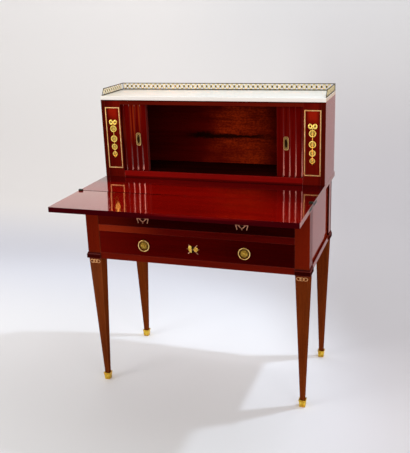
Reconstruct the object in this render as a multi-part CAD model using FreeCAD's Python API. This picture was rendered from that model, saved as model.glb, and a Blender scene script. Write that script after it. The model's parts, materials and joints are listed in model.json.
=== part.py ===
import FreeCAD, Part
import math
import os

# A ladies' writing desk with a tambour cabinet, in millimetres.
# +Z is up, the front faces -Y, and the origin is the centre of the footprint on the floor.

# Overall
half_width = 405.0
desk_height = 739.0
board = 17.0
hinge_y = -110.0
leaf_depth = 210.0
rear_y = 320.0

# Frame of the lower carcass
post = 48.0
post_inset = 10.7
front_inset = 8.0
carcass_bottom = 491.0
leg_top_width = 46.8
leg_foot_width = 14.8
leg_foot_z = 8.0
sabot_foot = 20.0
sabot_shoulder = 22.6
sabot_lip = 25.6
sabot_shoulder_z = 21.5
sabot_lip_z = 27.0
panel = 12.0
panel_recess = 6.0
side_rail_height = 19.0
lower_rail_top = 514.6
middle_rail_bottom = 594.4
middle_rail_top = 617.9

# Drawers
drawer_gap = 0.6
front_gap = 0.8
case_gap = 9.0
drawer_front = 18.0
drawer_wall = 10.0
drawer_floor = 6.0
bottom_raise = 4.0
back_drop = 6.0
drawer_back_y = 268.0
drawer_half = 345.1
runner_width = 22.0
runner_height = 15.0
guide_height = 20.0
ring_x = 178.5
ring_z = 552.0
ring_r = 19.2
tube_r = 1.9
ring_slack = 0.3
ring_stand_off = 3.05
eye_wall = 0.8
plate_r = 13.8
eye_width = 5.0
bow_x = 174.0
bow_z = 652.5
bow_span = 43.0
bow_tall = 18.0
bow_ribbon = 4.2
bow_stand_off = 7.0
lock_z = 553.0
bolt_travel = 6.0
bolt_width = 18.0
bolt_thick = 4.0
bolt_y = -88.5
lock_half = 25.0
lock_front = -90.0
lock_back = -82.0
lock_z0 = 540.0
lock_z1 = 592.0
bolt_z0 = 574.0
bolt_z1 = 593.2

# Cabinet
cabinet_front = 104.0
cabinet_back = 300.0
cabinet_wall = 14.0
cabinet_top = 1018.6
frame_thick = 9.0
opening_half = 330.0
opening_bottom = 762.0
opening_top = 1003.0
bottom_board = 16.0
back_board = 10.0
liner_x = 345.0
liner = 6.0
liner_gap = 3.0
marble_round = 1.5
marble = 13.5

# Brass on the pilasters: a frame, and a drop of medallions given as (height, radius)
frame_half_x = 28.2
frame_half_z = 111.0
frame_mid_z = 882.0
frame_line = 4.4
frame_relief = 1.6
mount_bow_z = 936.5
mount_bow_span = 31.0
mount_bow_tall = 19.5
mount_ribbon = 3.6
medallions = [(915.5, 12.2), (879.0, 12.2), (849.2, 10.9), (823.4, 9.2)]

# Tambours: slats run in three grooves, one behind the other
slat_width = 21.0
slat_thick = 6.0
slat_gap = 0.1
slat_round = 2.4
linen = 0.8
groove_depth = 6.0
groove_slack = 0.5
plane_pitch = 8.6
first_plane = 115.0
lead_x = 238.0
back_lead_x = 239.0
fixed_lead_x = 239.5
stile_width = 22.0
front_slats = 5
back_slats = 6
fixed_slats = 5
pull_z = 878.0
pull_half_x = 8.5
pull_half_z = 23.0
pull_corner = 5.0
pull_eye_x = 4.2
pull_eye_z = 13.5

# Gallery
gallery_height = 24.5
gallery_inset = 2.0
gallery_plate = 2.0
gallery_rail = 2.4
gallery_pitch = 17.65
gallery_front = 114.5
gallery_rake = 16.0
gallery_lip = 0.6
gallery_end = 4.0
gallery_bar = 4.4

# Knuckle hinges of the leaf, let into the side edges
pivot_z = desk_height + 0.3
knuckle_r = 5.0
knuckle_room = 5.6
knuckle_length = 6.0
knuckle_gap = 0.3
knuckle_reach = 13.0
pin_r = 2.0
pin_slack = 0.05
plate_thick = 2.5
plate_z0 = 725.0
plate_z1 = 736.0
plate_length = 54.0
plate_gap_fixed = 8.0
plate_gap_leaf = 12.0
arm_z0 = 731.0
arm_z1 = 738.4
screw_shank_r = 1.5
screw_head_r = 2.9
screw_length = 15.0
board_gap = 0.3

post_x = half_width - post_inset - post / 2
front_face = hinge_y + front_inset
post_front_y = front_face + post / 2
post_rear_y = rear_y - post / 2
post_inner_x = post_x - post / 2
panel_outer_x = post_x + post / 2 - panel_recess
side_y0 = post_front_y + post / 2
side_y1 = post_rear_y - post / 2
desk_under = desk_height - board
marble_top_z = cabinet_top + marble
cabinet_inner_x = half_width - cabinet_wall
mount_x = (opening_half + cabinet_inner_x) / 2 + 1.5


def vec(x, y, z):
    return FreeCAD.Vector(x, y, z)


def box(x0, x1, y0, y1, z0, z1):
    return Part.makeBox(x1 - x0, y1 - y0, z1 - z0, vec(x0, y0, z0))


def fuse(shapes):
    return shapes[0].multiFuse(shapes[1:]).removeSplitter()


def cut(shape, tools):
    return shape.cut(Part.makeCompound(tools))


def mirror(shape):
    return shape.mirror(vec(0, 0, 0), vec(1, 0, 0))


def both(shape):
    return [shape, mirror(shape)]


def mirrored(shapes):
    return shapes + [mirror(shape) for shape in shapes]


def rod_x(x0, x1, y, z, r):
    return Part.makeCylinder(r, x1 - x0, vec(x0, y, z), vec(1, 0, 0))


def disc(x, z, r, y_back, thick):
    """A round on the front of something: its back at y_back, standing towards -Y."""
    return Part.makeCylinder(r, thick, vec(x, y_back, z), vec(0, -1, 0))


def rect_wire(x0, x1, y0, y1, z):
    corners = [vec(x0, y0, z), vec(x1, y0, z), vec(x1, y1, z), vec(x0, y1, z)]
    return Part.makePolygon(corners + corners[:1])


def taper(cx, cy, z0, w0, z1, w1):
    """A square length centred on (cx, cy), w0 wide at z0 and w1 wide at z1."""
    low = rect_wire(cx - w0 / 2, cx + w0 / 2, cy - w0 / 2, cy + w0 / 2, z0)
    high = rect_wire(cx - w1 / 2, cx + w1 / 2, cy - w1 / 2, cy + w1 / 2, z1)
    return Part.makeLoft([low, high], True, True)


def prism(points, y_back, thick):
    """An outline of (x, z) points, its back at y_back, standing towards -Y."""
    corners = [vec(x, y_back, z) for x, z in points]
    face = Part.Face(Part.makePolygon(corners + corners[:1]))
    return face.extrude(vec(0, -thick, 0))


def oval(x, z, half_x, half_z, y_back, thick):
    """An elliptical plate, its back at y_back, standing towards -Y."""
    round_plate = Part.makeCylinder(1.0, thick, vec(0, 0, 0), vec(0, -1, 0))
    stretch = FreeCAD.Matrix()
    stretch.scale(vec(half_x, 1.0, half_z))
    plate = round_plate.transformGeometry(stretch)
    plate.translate(vec(x, y_back, z))
    return plate


def turned(shape, x, z, degrees):
    """The shape turned in the plane of the front about (x, z)."""
    turn = shape.copy()
    turn.rotate(vec(x, 0, z), vec(0, -1, 0), degrees)
    return turn


# ---- legs and lower carcass ----

def leg_width(z):
    share = (z - leg_foot_z) / (carcass_bottom - leg_foot_z)
    return leg_foot_width + share * (leg_top_width - leg_foot_width)


def tapered_leg(cx, cy):
    return taper(cx, cy, leg_foot_z, leg_foot_width, carcass_bottom, leg_top_width)


def leg(cx, cy):
    upper = box(cx - post / 2, cx + post / 2, cy - post / 2, cy + post / 2, carcass_bottom, desk_under)
    return fuse([upper, tapered_leg(cx, cy)])


def sabot(cx, cy):
    """A cast cup on the foot, with a flared lip that stands off the wood."""
    cup = taper(cx, cy, 0.0, sabot_foot, sabot_shoulder_z, sabot_shoulder)
    lip = taper(cx, cy, sabot_shoulder_z, sabot_shoulder, sabot_lip_z, sabot_lip)
    well = taper(cx, cy, sabot_shoulder_z + 1.5, sabot_shoulder - 6, sabot_lip_z + 0.1, sabot_lip - 3)
    return cut(fuse([cup, lip]), [tapered_leg(cx, cy), well])


def collar(cx, cy, is_front):
    """The moulding that ends the post: round its outer faces, away from the rails."""
    steps = [(0.0, 4.0), (2.0, 5.0), (15.0, 5.0), (18.0, 2.6), (21.8, 2.6)]
    rings = [taper(cx, cy, carcass_bottom + z0, post + 2 * out0, carcass_bottom + z1, post + 2 * out1)
             for (z0, out0), (z1, out1) in zip(steps, steps[1:])]
    side = 1 if cx > 0 else -1
    half = post / 2
    z0 = carcass_bottom - 1
    z1 = carcass_bottom + steps[-1][0] + 1
    low, high = sorted((cx - side * half, cx - side * (half + post)))
    trims = [box(cx - half, cx + half, cy - half, cy + half, z0, z1),
             box(low, high, cy - post, cy + post, z0, z1),
             box(cx - post, cx + post, cy + half, cy + post, z0, z1)]
    if not is_front:
        trims.append(box(cx - post, cx + post, cy - post, cy - half, z0, z1))
    return cut(fuse(rings), trims)


def leg_band(cx):
    """Three linked rings of pierced brass on the front of a front leg, under its collar."""
    mid_z = carcass_bottom - 11.5
    link_x = 8.6
    link_z = 6.4
    link_wire = 1.9
    step = 10.6
    thick = 1.6
    face_y = post_front_y - leg_width(mid_z) / 2
    centres = [cx - step, cx, cx + step]
    rings = [oval(x, mid_z, link_x, link_z, face_y, thick) for x in centres]
    holes = [oval(x, mid_z, step / 2 - link_wire / 2, link_z - link_wire, face_y + 1, thick + 2) for x in centres]
    band = cut(fuse(rings), holes)
    slope = (leg_top_width - leg_foot_width) / 2 / (carcass_bottom - leg_foot_z)
    band.rotate(vec(cx, face_y, mid_z), vec(1, 0, 0), math.degrees(math.atan(slope)))
    return band


def side_panel():
    return box(panel_outer_x - panel, panel_outer_x, side_y0, side_y1,
               carcass_bottom + side_rail_height, desk_under)


def side_rail():
    return box(panel_outer_x - panel, post_x + post / 2, side_y0, side_y1,
               carcass_bottom, carcass_bottom + side_rail_height)


def carcass_back():
    y1 = rear_y - front_inset
    return box(-post_inner_x, post_inner_x, y1 - panel, y1, carcass_bottom, desk_under)


def front_rail(z0, z1):
    return box(-post_inner_x, post_inner_x, front_face, side_y0, z0, z1)


def bolt_box(slack, z0, z1):
    """The lock bolt's outline, grown by slack for the slots that it runs in."""
    half = bolt_width / 2 + slack
    return box(-half, half, bolt_y - slack, bolt_y + bolt_thick + slack, z0, z1)


def middle_rail():
    mortise = bolt_box(0.5, middle_rail_bottom - 1, bolt_z1 + bolt_travel + 2)
    return front_rail(middle_rail_bottom, middle_rail_top).cut(mortise)


def drawer_runners():
    """For each drawer and side a runner under the drawer's side and a guide beside it."""
    pieces = []
    outer_x = panel_outer_x - panel
    for top in (lower_rail_top, middle_rail_top):
        runner = box(post_inner_x - runner_width, outer_x, side_y0, side_y1, top - runner_height, top)
        guide = box(post_inner_x, outer_x, side_y0, side_y1, top, top + guide_height)
        pieces += both(runner) + both(guide)
    return pieces


# ---- leaf and its hinges ----

def screw(y, slack):
    """A countersunk screw through a hinge plate into the right-hand edge of a board."""
    z = (plate_z0 + plate_z1) / 2
    head_depth = screw_head_r - screw_shank_r
    inwards = vec(-1, 0, 0)
    head = Part.makeCone(screw_head_r + slack, screw_shank_r + slack, head_depth,
                         vec(half_width, y, z), inwards)
    shank = Part.makeCylinder(screw_shank_r + slack, screw_length + slack - head_depth,
                              vec(half_width - head_depth, y, z), inwards)
    return fuse([head, shank])


def screw_places(plate_start, towards):
    """Three places along a plate that starts at plate_start and runs towards +Y or -Y."""
    return [plate_start + towards * plate_length * share for share in (0.15, 0.5, 0.85)]


def fixed_screw_places():
    return screw_places(hinge_y + plate_gap_fixed, 1)


def leaf_screw_places():
    return screw_places(hinge_y - plate_gap_leaf, -1)


def screws(places, slack=0.0):
    return [screw(y, slack) for y in places]


def screw_holes(places):
    return screws(places, 0.05)


def hinge_fixed():
    """Right-hand hinge half on the fixed top: plate, arm, outer knuckle and pin."""
    y0 = hinge_y + plate_gap_fixed
    plate = box(half_width - plate_thick, half_width, y0, y0 + plate_length, plate_z0, plate_z1)
    arm = box(half_width - plate_thick, half_width, hinge_y, y0, arm_z0, arm_z1)
    knuckle = rod_x(half_width - knuckle_length, half_width, hinge_y, pivot_z, knuckle_r)
    pin = rod_x(half_width - knuckle_reach - 0.5, half_width - knuckle_length, hinge_y, pivot_z, pin_r)
    return cut(fuse([plate, arm, knuckle, pin]), screw_holes(fixed_screw_places()))


def hinge_moving():
    """Right-hand hinge half on the leaf: plate, cranked arm and inner knuckle."""
    y1 = hinge_y - plate_gap_leaf
    plate = box(half_width - plate_thick, half_width, y1 - plate_length, y1, plate_z0, plate_z1)
    inner_x = half_width - knuckle_reach
    outer_x = half_width - knuckle_length - knuckle_gap
    crank = box(inner_x, half_width, y1, hinge_y - knuckle_room - 0.2, arm_z0, arm_z1)
    neck = box(inner_x, outer_x, hinge_y - 8, hinge_y, pivot_z - knuckle_r + 0.5, arm_z1)
    knuckle = rod_x(inner_x, outer_x, hinge_y, pivot_z, knuckle_r)
    bore = rod_x(inner_x - 1, half_width, hinge_y, pivot_z, pin_r + pin_slack)
    return cut(fuse([plate, crank, neck, knuckle]), [bore] + screw_holes(leaf_screw_places()))


def knuckle_notch():
    return rod_x(half_width - knuckle_reach - 0.8, half_width + 1, hinge_y, pivot_z, knuckle_room)


def hinge_room(plate, places):
    """What a board loses at both ends for a hinge half, its screws and the knuckles."""
    return mirrored([plate, knuckle_notch()] + screw_holes(places))


def fixed_top():
    slab = box(-half_width, half_width, hinge_y + board_gap, rear_y, desk_under, desk_height)
    return cut(slab, hinge_room(hinge_fixed(), fixed_screw_places()))


def leaf():
    slab = box(-half_width, half_width, hinge_y - leaf_depth, hinge_y - board_gap, desk_under, desk_height)
    return cut(slab, hinge_room(hinge_moving(), leaf_screw_places()))


# ---- cabinet ----

def cabinet_side():
    return box(cabinet_inner_x, half_width, cabinet_front, cabinet_back, desk_height, cabinet_top)


def cabinet_back_panel():
    return box(-cabinet_inner_x, cabinet_inner_x, cabinet_back - back_board, cabinet_back,
               desk_height, cabinet_top)


def pilaster():
    return box(opening_half, cabinet_inner_x, cabinet_front, cabinet_front + frame_thick,
               desk_height, cabinet_top)


def cabinet_rail(z0, z1):
    return box(-opening_half, opening_half, cabinet_front, cabinet_front + frame_thick, z0, z1)


def plane_y(plane):
    """Front face of the slats in groove 0 (foremost), 1 or 2."""
    return first_plane + plane * plane_pitch


def grooves(z0, z1):
    cuts = []
    for plane in range(3):
        y0 = plane_y(plane) - groove_slack
        y1 = plane_y(plane) + slat_thick + linen + groove_slack
        cuts.append(box(-cabinet_inner_x - 1, cabinet_inner_x + 1, y0, y1, z0, z1))
    return cuts


def grooved_board(z0, z1, groove_z0, groove_z1):
    slab = box(-cabinet_inner_x, cabinet_inner_x, cabinet_front + frame_thick,
               cabinet_back - back_board, z0, z1)
    return cut(slab, grooves(groove_z0, groove_z1))


def pocket_liner():
    y0 = plane_y(2) + slat_thick + linen + liner_gap
    return box(liner_x, liner_x + liner, y0, cabinet_back - back_board, opening_bottom, opening_top)


def marble_slab():
    slab = box(-half_width, half_width, cabinet_front, cabinet_back, cabinet_top, marble_top_z)
    arris = [e for e in slab.Edges if abs(e.CenterOfMass.z - marble_top_z) < 0.01]
    return slab.makeFillet(marble_round, arris)


# ---- tambours ----

def slat(x0, x1, y_front):
    """One upright slat with its two front edges rounded."""
    reach = groove_depth - 1
    strip = box(x0 + slat_gap, x1 - slat_gap, y_front, y_front + slat_thick,
                opening_bottom - reach, opening_top + reach)
    front_edges = [e for e in strip.Edges
                   if abs(e.CenterOfMass.y - y_front) < 0.01 and e.Length > slat_width]
    return strip.makeFillet(slat_round, front_edges)


def slat_run(start, count, plane):
    """Slats side by side from start outwards, for the right-hand tambour."""
    return [slat(start + i * slat_width, start + (i + 1) * slat_width, plane_y(plane))
            for i in range(count)]


def linen_strip(x0, x1, plane):
    y0 = plane_y(plane) + slat_thick
    return box(x0 + 2, x1 - 2, y0, y0 + linen, opening_bottom - 3, opening_top + 3)


def front_tambour():
    stile = slat(lead_x, lead_x + stile_width, plane_y(0))
    return [stile] + slat_run(lead_x + stile_width, front_slats, 0)


def tambour_pull():
    x = lead_x + stile_width + slat_width / 2
    y = plane_y(0)
    plate = box(x - pull_half_x, x + pull_half_x, y - 2.0, y, pull_z - pull_half_z, pull_z + pull_half_z)
    corners = [e for e in plate.Edges if abs(e.Length - 2.0) < 0.01]
    recess = oval(x, pull_z, pull_eye_x, pull_eye_z, y - 0.8, 2.0)
    return plate.makeFillet(pull_corner, corners).cut(recess)


# ---- gallery ----

def gallery_strip(length, is_raked):
    """A pierced strip lying along +X from 0, its foot on z = 0 and its back at y = 0."""
    height = gallery_height
    plate = box(0, length, -gallery_plate, 0, 0, height)
    count = int((length - 2 * gallery_end) / gallery_pitch)
    start = (length - (count - 1) * gallery_pitch) / 2
    hole_x = (gallery_pitch - gallery_bar) / 2
    hole_z = height / 2 - gallery_rail - gallery_bar / 3
    first = 1 if is_raked else 0
    holes = [oval(start + i * gallery_pitch, height / 2, hole_x, hole_z, 1, gallery_plate + 2)
             for i in range(first, count)]
    rails = [box(0, length, -gallery_plate - gallery_lip, gallery_lip, z, z + gallery_rail)
             for z in (0, height - gallery_rail)]
    strip = fuse([cut(plate, holes)] + rails)
    if is_raked:
        corner = [(-1, height + 1), (gallery_rake, height + 1), (0, gallery_rail), (-1, gallery_rail)]
        strip = strip.cut(prism(corner, gallery_plate, 3 * gallery_plate))
    return strip


def gallery_back():
    length = 2 * (half_width - gallery_inset)
    strip = gallery_strip(length, False)
    strip.translate(vec(-length / 2, cabinet_back - gallery_inset, marble_top_z))
    return strip


def gallery_side():
    """The right-hand return, which rakes down to the front."""
    length = cabinet_back - gallery_inset - gallery_plate - gallery_lip - gallery_front
    strip = gallery_strip(length, True)
    strip.rotate(vec(0, 0, 0), vec(0, 0, 1), 90)
    strip.translate(vec(half_width - gallery_inset - gallery_plate, gallery_front, marble_top_z))
    return strip


# ---- mounts on the fronts ----

def bow(x, z, span, tall, ribbon, y_back, thick):
    """A ribbon bow: two upright loops and a knot, span wide over the loops."""
    loop_x = span * 0.255
    loop_lean = 10.0
    pieces = []
    holes = []
    for side in (-1, 1):
        cx = x + side * loop_x
        loop = oval(cx, z, span * 0.25, tall / 2, y_back, thick)
        eye = oval(cx, z, span * 0.25 - ribbon, tall / 2 - ribbon, y_back + 1, thick + 2)
        pieces.append(turned(loop, cx, z, side * loop_lean))
        holes.append(turned(eye, cx, z, side * loop_lean))
    knot = disc(x, z, span * 0.12, y_back, thick * 1.3)
    return cut(fuse(pieces), holes).fuse(knot)


def patera(x, z, r, y_back):
    """A round medallion: a flat rim and a raised centre."""
    rim = disc(x, z, r, y_back, 1.8)
    boss = Part.makeCone(r * 0.66, r * 0.3, 1.6, vec(x, y_back - 1.8, z), vec(0, -1, 0))
    return fuse([rim, boss])


def pilaster_frame():
    half_x = frame_half_x - frame_line
    half_z = frame_half_z - frame_line
    outer = box(mount_x - frame_half_x, mount_x + frame_half_x, cabinet_front - frame_relief, cabinet_front,
                frame_mid_z - frame_half_z, frame_mid_z + frame_half_z)
    inner = box(mount_x - half_x, mount_x + half_x, cabinet_front - 2 * frame_relief, cabinet_front + 1,
                frame_mid_z - half_z, frame_mid_z + half_z)
    return outer.cut(inner)


def pilaster_mount():
    """A bow above four medallions that shrink downwards, the last with a drop."""
    x = mount_x
    y = cabinet_front
    last_z, last_r = medallions[-1]
    drop_z = last_z - last_r - 1.4
    pieces = [bow(x, mount_bow_z + 2, mount_bow_span, mount_bow_tall, mount_ribbon, y, 2.2)]
    pieces += [patera(x, z, r, y) for z, r in medallions]
    pieces.append(box(x - 1.4, x + 1.4, y - 1.4, y, drop_z, mount_bow_z + 2))
    tip = [(x - 3.4, drop_z + 0.7), (x, drop_z - 5.8), (x + 3.4, drop_z + 0.7), (x, drop_z + 5.2)]
    pieces.append(prism(tip, y, 1.8))
    return fuse(pieces)


def bow_pull():
    """The upper drawer's grip: a bow with hanging ends, held off the front by a stud behind its knot."""
    y = front_face - bow_stand_off
    stud = disc(bow_x, bow_z, 3.6, front_face, bow_stand_off + 0.5)
    back_plate = disc(bow_x, bow_z, 7.0, front_face, 1.5)
    pieces = [bow(bow_x, bow_z, bow_span, bow_tall, bow_ribbon, y, 3.0), stud, back_plate]
    for side in (-1, 1):
        end = [(16.0, -3.0), (21.2, -2.0), (21.4, -13.0), (18.6, -14.5)]
        pieces.append(prism([(bow_x + side * x, bow_z + z) for x, z in end], y, 2.4))
    drop = [(-3.6, -2.0), (3.6, -2.0), (4.6, -11.5), (0.0, -16.0), (-4.6, -11.5)]
    pieces.append(prism([(bow_x + x, bow_z + z) for x, z in drop], y, 2.4))
    return fuse(pieces)


def rosette():
    """Back plate of a ring pull, with the eye that the ring hangs in."""
    y = front_face
    plane = y - ring_stand_off
    eye_z = ring_z + ring_r
    x0 = ring_x - eye_width / 2
    x1 = ring_x + eye_width / 2
    plate = disc(ring_x, ring_z, plate_r, y, 2.2)
    boss = Part.makeCone(9.5, 4.0, 2.4, vec(ring_x, y - 2.2, ring_z), vec(0, -1, 0))
    tab = box(x0, x1, y - 0.9, y, ring_z, eye_z + 3)
    eye = rod_x(x0, x1, plane, eye_z, tube_r + ring_slack + eye_wall)
    neck = box(x0, x1, plane, y, eye_z - eye_width / 2, eye_z + eye_width / 2)
    bore = rod_x(x0 - 1, x1 + 1, plane, eye_z, tube_r + ring_slack)
    return fuse([plate, boss, tab, eye, neck]).cut(bore)


def pull_ring():
    centre = vec(ring_x, front_face - ring_stand_off, ring_z)
    return Part.makeTorus(ring_r, tube_r, centre, vec(0, 1, 0))


def keyhole():
    """The way through the drawer front and its mount, for the key."""
    barrel = disc(0, lock_z + 2.4, 2.6, front_face + drawer_front + 1, drawer_front + 12)
    slot = box(-1.3, 1.3, front_face - 10, front_face + drawer_front + 1, lock_z - 6, lock_z + 2)
    return barrel.fuse(slot)


def escutcheon():
    """The lock's mount: a quiver and a bunch of flowers, with torches crossed behind them, either side of the key."""
    y = front_face
    centre = lock_z
    lean = 46.0
    quiver = turned(oval(-9.6, centre, 7.4, 13.4, y, 2.4), -9.6, centre, -8)
    flowers = disc(9.8, centre, 9.4, y, 2.4)
    key_plate = oval(0, centre - 1.0, 6.0, 12.5, y, 2.0)
    spike = prism([(-22.5, centre + 1.6), (-22.5, centre - 1.2), (22.5, centre - 1.2), (22.5, centre + 1.6)], y, 1.6)
    pieces = [quiver, flowers, key_plate, spike]
    stem = [(-2.2, -25.0), (2.2, -25.0), (3.4, 22.0), (-3.4, 22.0)]
    for side in (-1, 1):
        bar = prism([(x, centre + z) for x, z in stem], y, 1.6)
        pieces.append(turned(bar, 0, centre, side * lean))
    return fuse(pieces).cut(keyhole())


def lock_case():
    case = box(-lock_half, lock_half, lock_front, lock_back, lock_z0, lock_z1)
    return cut(case, [bolt_box(0.3, bolt_z0 - 2, lock_z1 + 1), keyhole()])


def lock_bolt():
    return bolt_box(0.0, bolt_z0, bolt_z1)


# ---- drawers ----

def drawer_face(z0, z1):
    return box(-drawer_half, drawer_half, front_face, front_face + drawer_front, z0, z1)


def drawer_case(z0, side_top):
    """Two sides and the back, which stands on the bottom and is a little lower than the sides."""
    y0 = front_face + drawer_front
    inner = drawer_half - drawer_wall
    side = box(inner, drawer_half, y0, drawer_back_y, z0, side_top)
    back = box(-inner, inner, drawer_back_y - drawer_wall, drawer_back_y,
               z0 + bottom_raise + drawer_floor, side_top - back_drop)
    return both(side) + [back]


def drawer_bottom(z0):
    inner = drawer_half - drawer_wall
    floor_z = z0 + bottom_raise
    return box(-inner, inner, front_face + drawer_front, drawer_back_y, floor_z, floor_z + drawer_floor)


def lower_drawer_face(z0, z1):
    lock_room = box(-lock_half, lock_half, lock_front, front_face + drawer_front + 1, lock_z0, lock_z1)
    bolt_way = bolt_box(0.3, lock_z1 - 1, z1 + 1)
    return cut(drawer_face(z0, z1), [lock_room, bolt_way, keyhole()])


# ---- everything, by node ----

def corner_nodes():
    corners = {"front_left": (-post_x, post_front_y), "front_right": (post_x, post_front_y),
               "rear_left": (-post_x, post_rear_y), "rear_right": (post_x, post_rear_y)}
    nodes = {"leg_" + name: [leg(x, y)] for name, (x, y) in corners.items()}
    nodes["sabots"] = [sabot(x, y) for x, y in corners.values()]
    nodes["post_collars"] = [collar(x, y, y < 0) for x, y in corners.values()]
    nodes["leg_bands"] = [leg_band(-post_x), leg_band(post_x)]
    return nodes


def carcass_nodes():
    return {
        "side_panel_left": [mirror(side_panel())],
        "side_panel_right": [side_panel()],
        "side_rails": both(side_rail()),
        "carcass_back": [carcass_back()],
        "front_bottom_rail": [front_rail(carcass_bottom, lower_rail_top)],
        "front_middle_rail": [middle_rail()],
        "drawer_runners": drawer_runners(),
        "fixed_top": [fixed_top()],
        "hinge_plates_fixed": both(hinge_fixed()),
        "hinge_screws_fixed": mirrored(screws(fixed_screw_places())),
        "leaf": [leaf()],
        "hinge_plates_leaf": both(hinge_moving()),
        "hinge_screws_leaf": mirrored(screws(leaf_screw_places())),
    }


def cabinet_nodes():
    nodes = {
        "cabinet_side_left": [mirror(cabinet_side())],
        "cabinet_side_right": [cabinet_side()],
        "cabinet_back": [cabinet_back_panel()],
        "cabinet_bottom_board": [grooved_board(opening_bottom - bottom_board, opening_bottom,
                                               opening_bottom - groove_depth, opening_bottom + 1)],
        "cabinet_top_board": [grooved_board(opening_top, cabinet_top,
                                            opening_top - 1, opening_top + groove_depth)],
        "cabinet_bottom_rail": [cabinet_rail(desk_height, opening_bottom)],
        "cabinet_top_rail": [cabinet_rail(opening_top, cabinet_top)],
        "pocket_liners": both(pocket_liner()),
        "marble_top": [marble_slab()],
        "gallery": [gallery_back()] + both(gallery_side()),
        "pilaster_frames": both(pilaster_frame()),
        "tambour_fixed_slats": mirrored(slat_run(fixed_lead_x, fixed_slats, 2)),
    }
    for name, place in (("left", mirror), ("right", lambda shape: shape)):
        front_end = lead_x + stile_width + front_slats * slat_width
        back_end = back_lead_x + back_slats * slat_width
        nodes["pilaster_" + name] = [place(pilaster())]
        nodes["pilaster_mount_" + name] = [place(pilaster_mount())]
        nodes["tambour_" + name + "_front_slats"] = [place(s) for s in front_tambour()]
        nodes["tambour_" + name + "_front_linen"] = [place(linen_strip(lead_x, front_end, 0))]
        nodes["tambour_" + name + "_pull"] = [place(tambour_pull())]
        nodes["tambour_" + name + "_back_slats"] = [place(s) for s in slat_run(back_lead_x, back_slats, 1)]
        nodes["tambour_" + name + "_back_linen"] = [place(linen_strip(back_lead_x, back_end, 1))]
    return nodes


def drawer_nodes():
    low = lower_rail_top + drawer_gap
    high = middle_rail_top + drawer_gap
    return {
        "upper_drawer_front": [drawer_face(high, desk_under - front_gap)],
        "upper_drawer_case": drawer_case(high, desk_under - case_gap),
        "upper_drawer_bottom": [drawer_bottom(high)],
        "upper_drawer_pulls": both(bow_pull()),
        "lower_drawer_front": [lower_drawer_face(low, middle_rail_bottom - front_gap)],
        "lower_drawer_case": drawer_case(low, middle_rail_bottom - case_gap),
        "lower_drawer_bottom": [drawer_bottom(low)],
        "lower_drawer_escutcheon": [escutcheon()],
        "lower_drawer_rosettes": both(rosette()),
        "pull_ring_left": [mirror(pull_ring())],
        "pull_ring_right": [pull_ring()],
        "lock_case": [lock_case()],
        "lock_bolt": [lock_bolt()],
    }


def main():
    os.makedirs("parts", exist_ok=True)
    for group in (corner_nodes, carcass_nodes, cabinet_nodes, drawer_nodes):
        for name, solids in group().items():
            shape = solids[0] if len(solids) == 1 else Part.makeCompound(solids)
            for solid in shape.Solids:
                if not solid.isValid():
                    print("not valid:", name)
            print(name, len(shape.Solids), round(shape.Volume / 1000.0, 1), "cm3")
            shape.exportStep("parts/" + name + ".step")


main()
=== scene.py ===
import json
import math

import bmesh
import bpy
from mathutils import Matrix, Vector


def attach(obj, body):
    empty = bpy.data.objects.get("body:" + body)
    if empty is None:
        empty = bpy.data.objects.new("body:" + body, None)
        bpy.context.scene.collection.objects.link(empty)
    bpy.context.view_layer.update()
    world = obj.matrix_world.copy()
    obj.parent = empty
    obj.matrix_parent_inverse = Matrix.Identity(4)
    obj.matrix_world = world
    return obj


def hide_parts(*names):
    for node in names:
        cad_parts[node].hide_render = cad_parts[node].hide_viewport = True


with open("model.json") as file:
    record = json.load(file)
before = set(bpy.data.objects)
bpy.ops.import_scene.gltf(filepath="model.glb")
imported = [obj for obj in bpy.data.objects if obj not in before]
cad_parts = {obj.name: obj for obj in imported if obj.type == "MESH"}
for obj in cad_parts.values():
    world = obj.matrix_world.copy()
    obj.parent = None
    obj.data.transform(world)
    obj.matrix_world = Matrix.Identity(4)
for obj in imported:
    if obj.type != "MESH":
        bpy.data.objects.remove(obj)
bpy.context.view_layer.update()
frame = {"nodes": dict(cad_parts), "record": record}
nodes = frame["nodes"]
print("frame loaded,", len(nodes), "nodes")


def linear(red, green, blue):
    # a screen colour, 0 to 255, as the shader wants it
    def one(v):
        v = v / 255
        return v / 12.92 if v <= 0.04045 else ((v + 0.055) / 1.055) ** 2.4
    return (one(red), one(green), one(blue), 1.0)


cameraPlace = {"location": (0.7877, -2.2431, 1.3598), "yaw": 19.119, "pitch": 17.705, "roll": -2.096, "lens": 57.27,
               "sensor": 36, "farthest": 50}


def placeCamera():
    yaw, pitch, roll = (math.radians(cameraPlace[k]) for k in ("yaw", "pitch", "roll"))
    ahead = Vector((-math.sin(yaw) * math.cos(pitch), math.cos(yaw) * math.cos(pitch), -math.sin(pitch)))
    right = ahead.cross(Vector((0, 0, 1))).normalized()
    up = right.cross(ahead)
    tiltedRight = right * math.cos(roll) + up * math.sin(roll)
    tiltedUp = up * math.cos(roll) - right * math.sin(roll)
    turn = Matrix((tiltedRight, tiltedUp, -ahead)).transposed().to_4x4()
    turn.translation = Vector(cameraPlace["location"])
    data = bpy.data.cameras.new("camera")
    data.lens = cameraPlace["lens"]
    data.sensor_width = cameraPlace["sensor"]
    data.clip_end = cameraPlace["farthest"]
    camera = bpy.data.objects.new("camera", data)
    bpy.context.scene.collection.objects.link(camera)
    camera.matrix_world = turn
    bpy.context.scene.camera = camera


# shader maths written as Python

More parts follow.
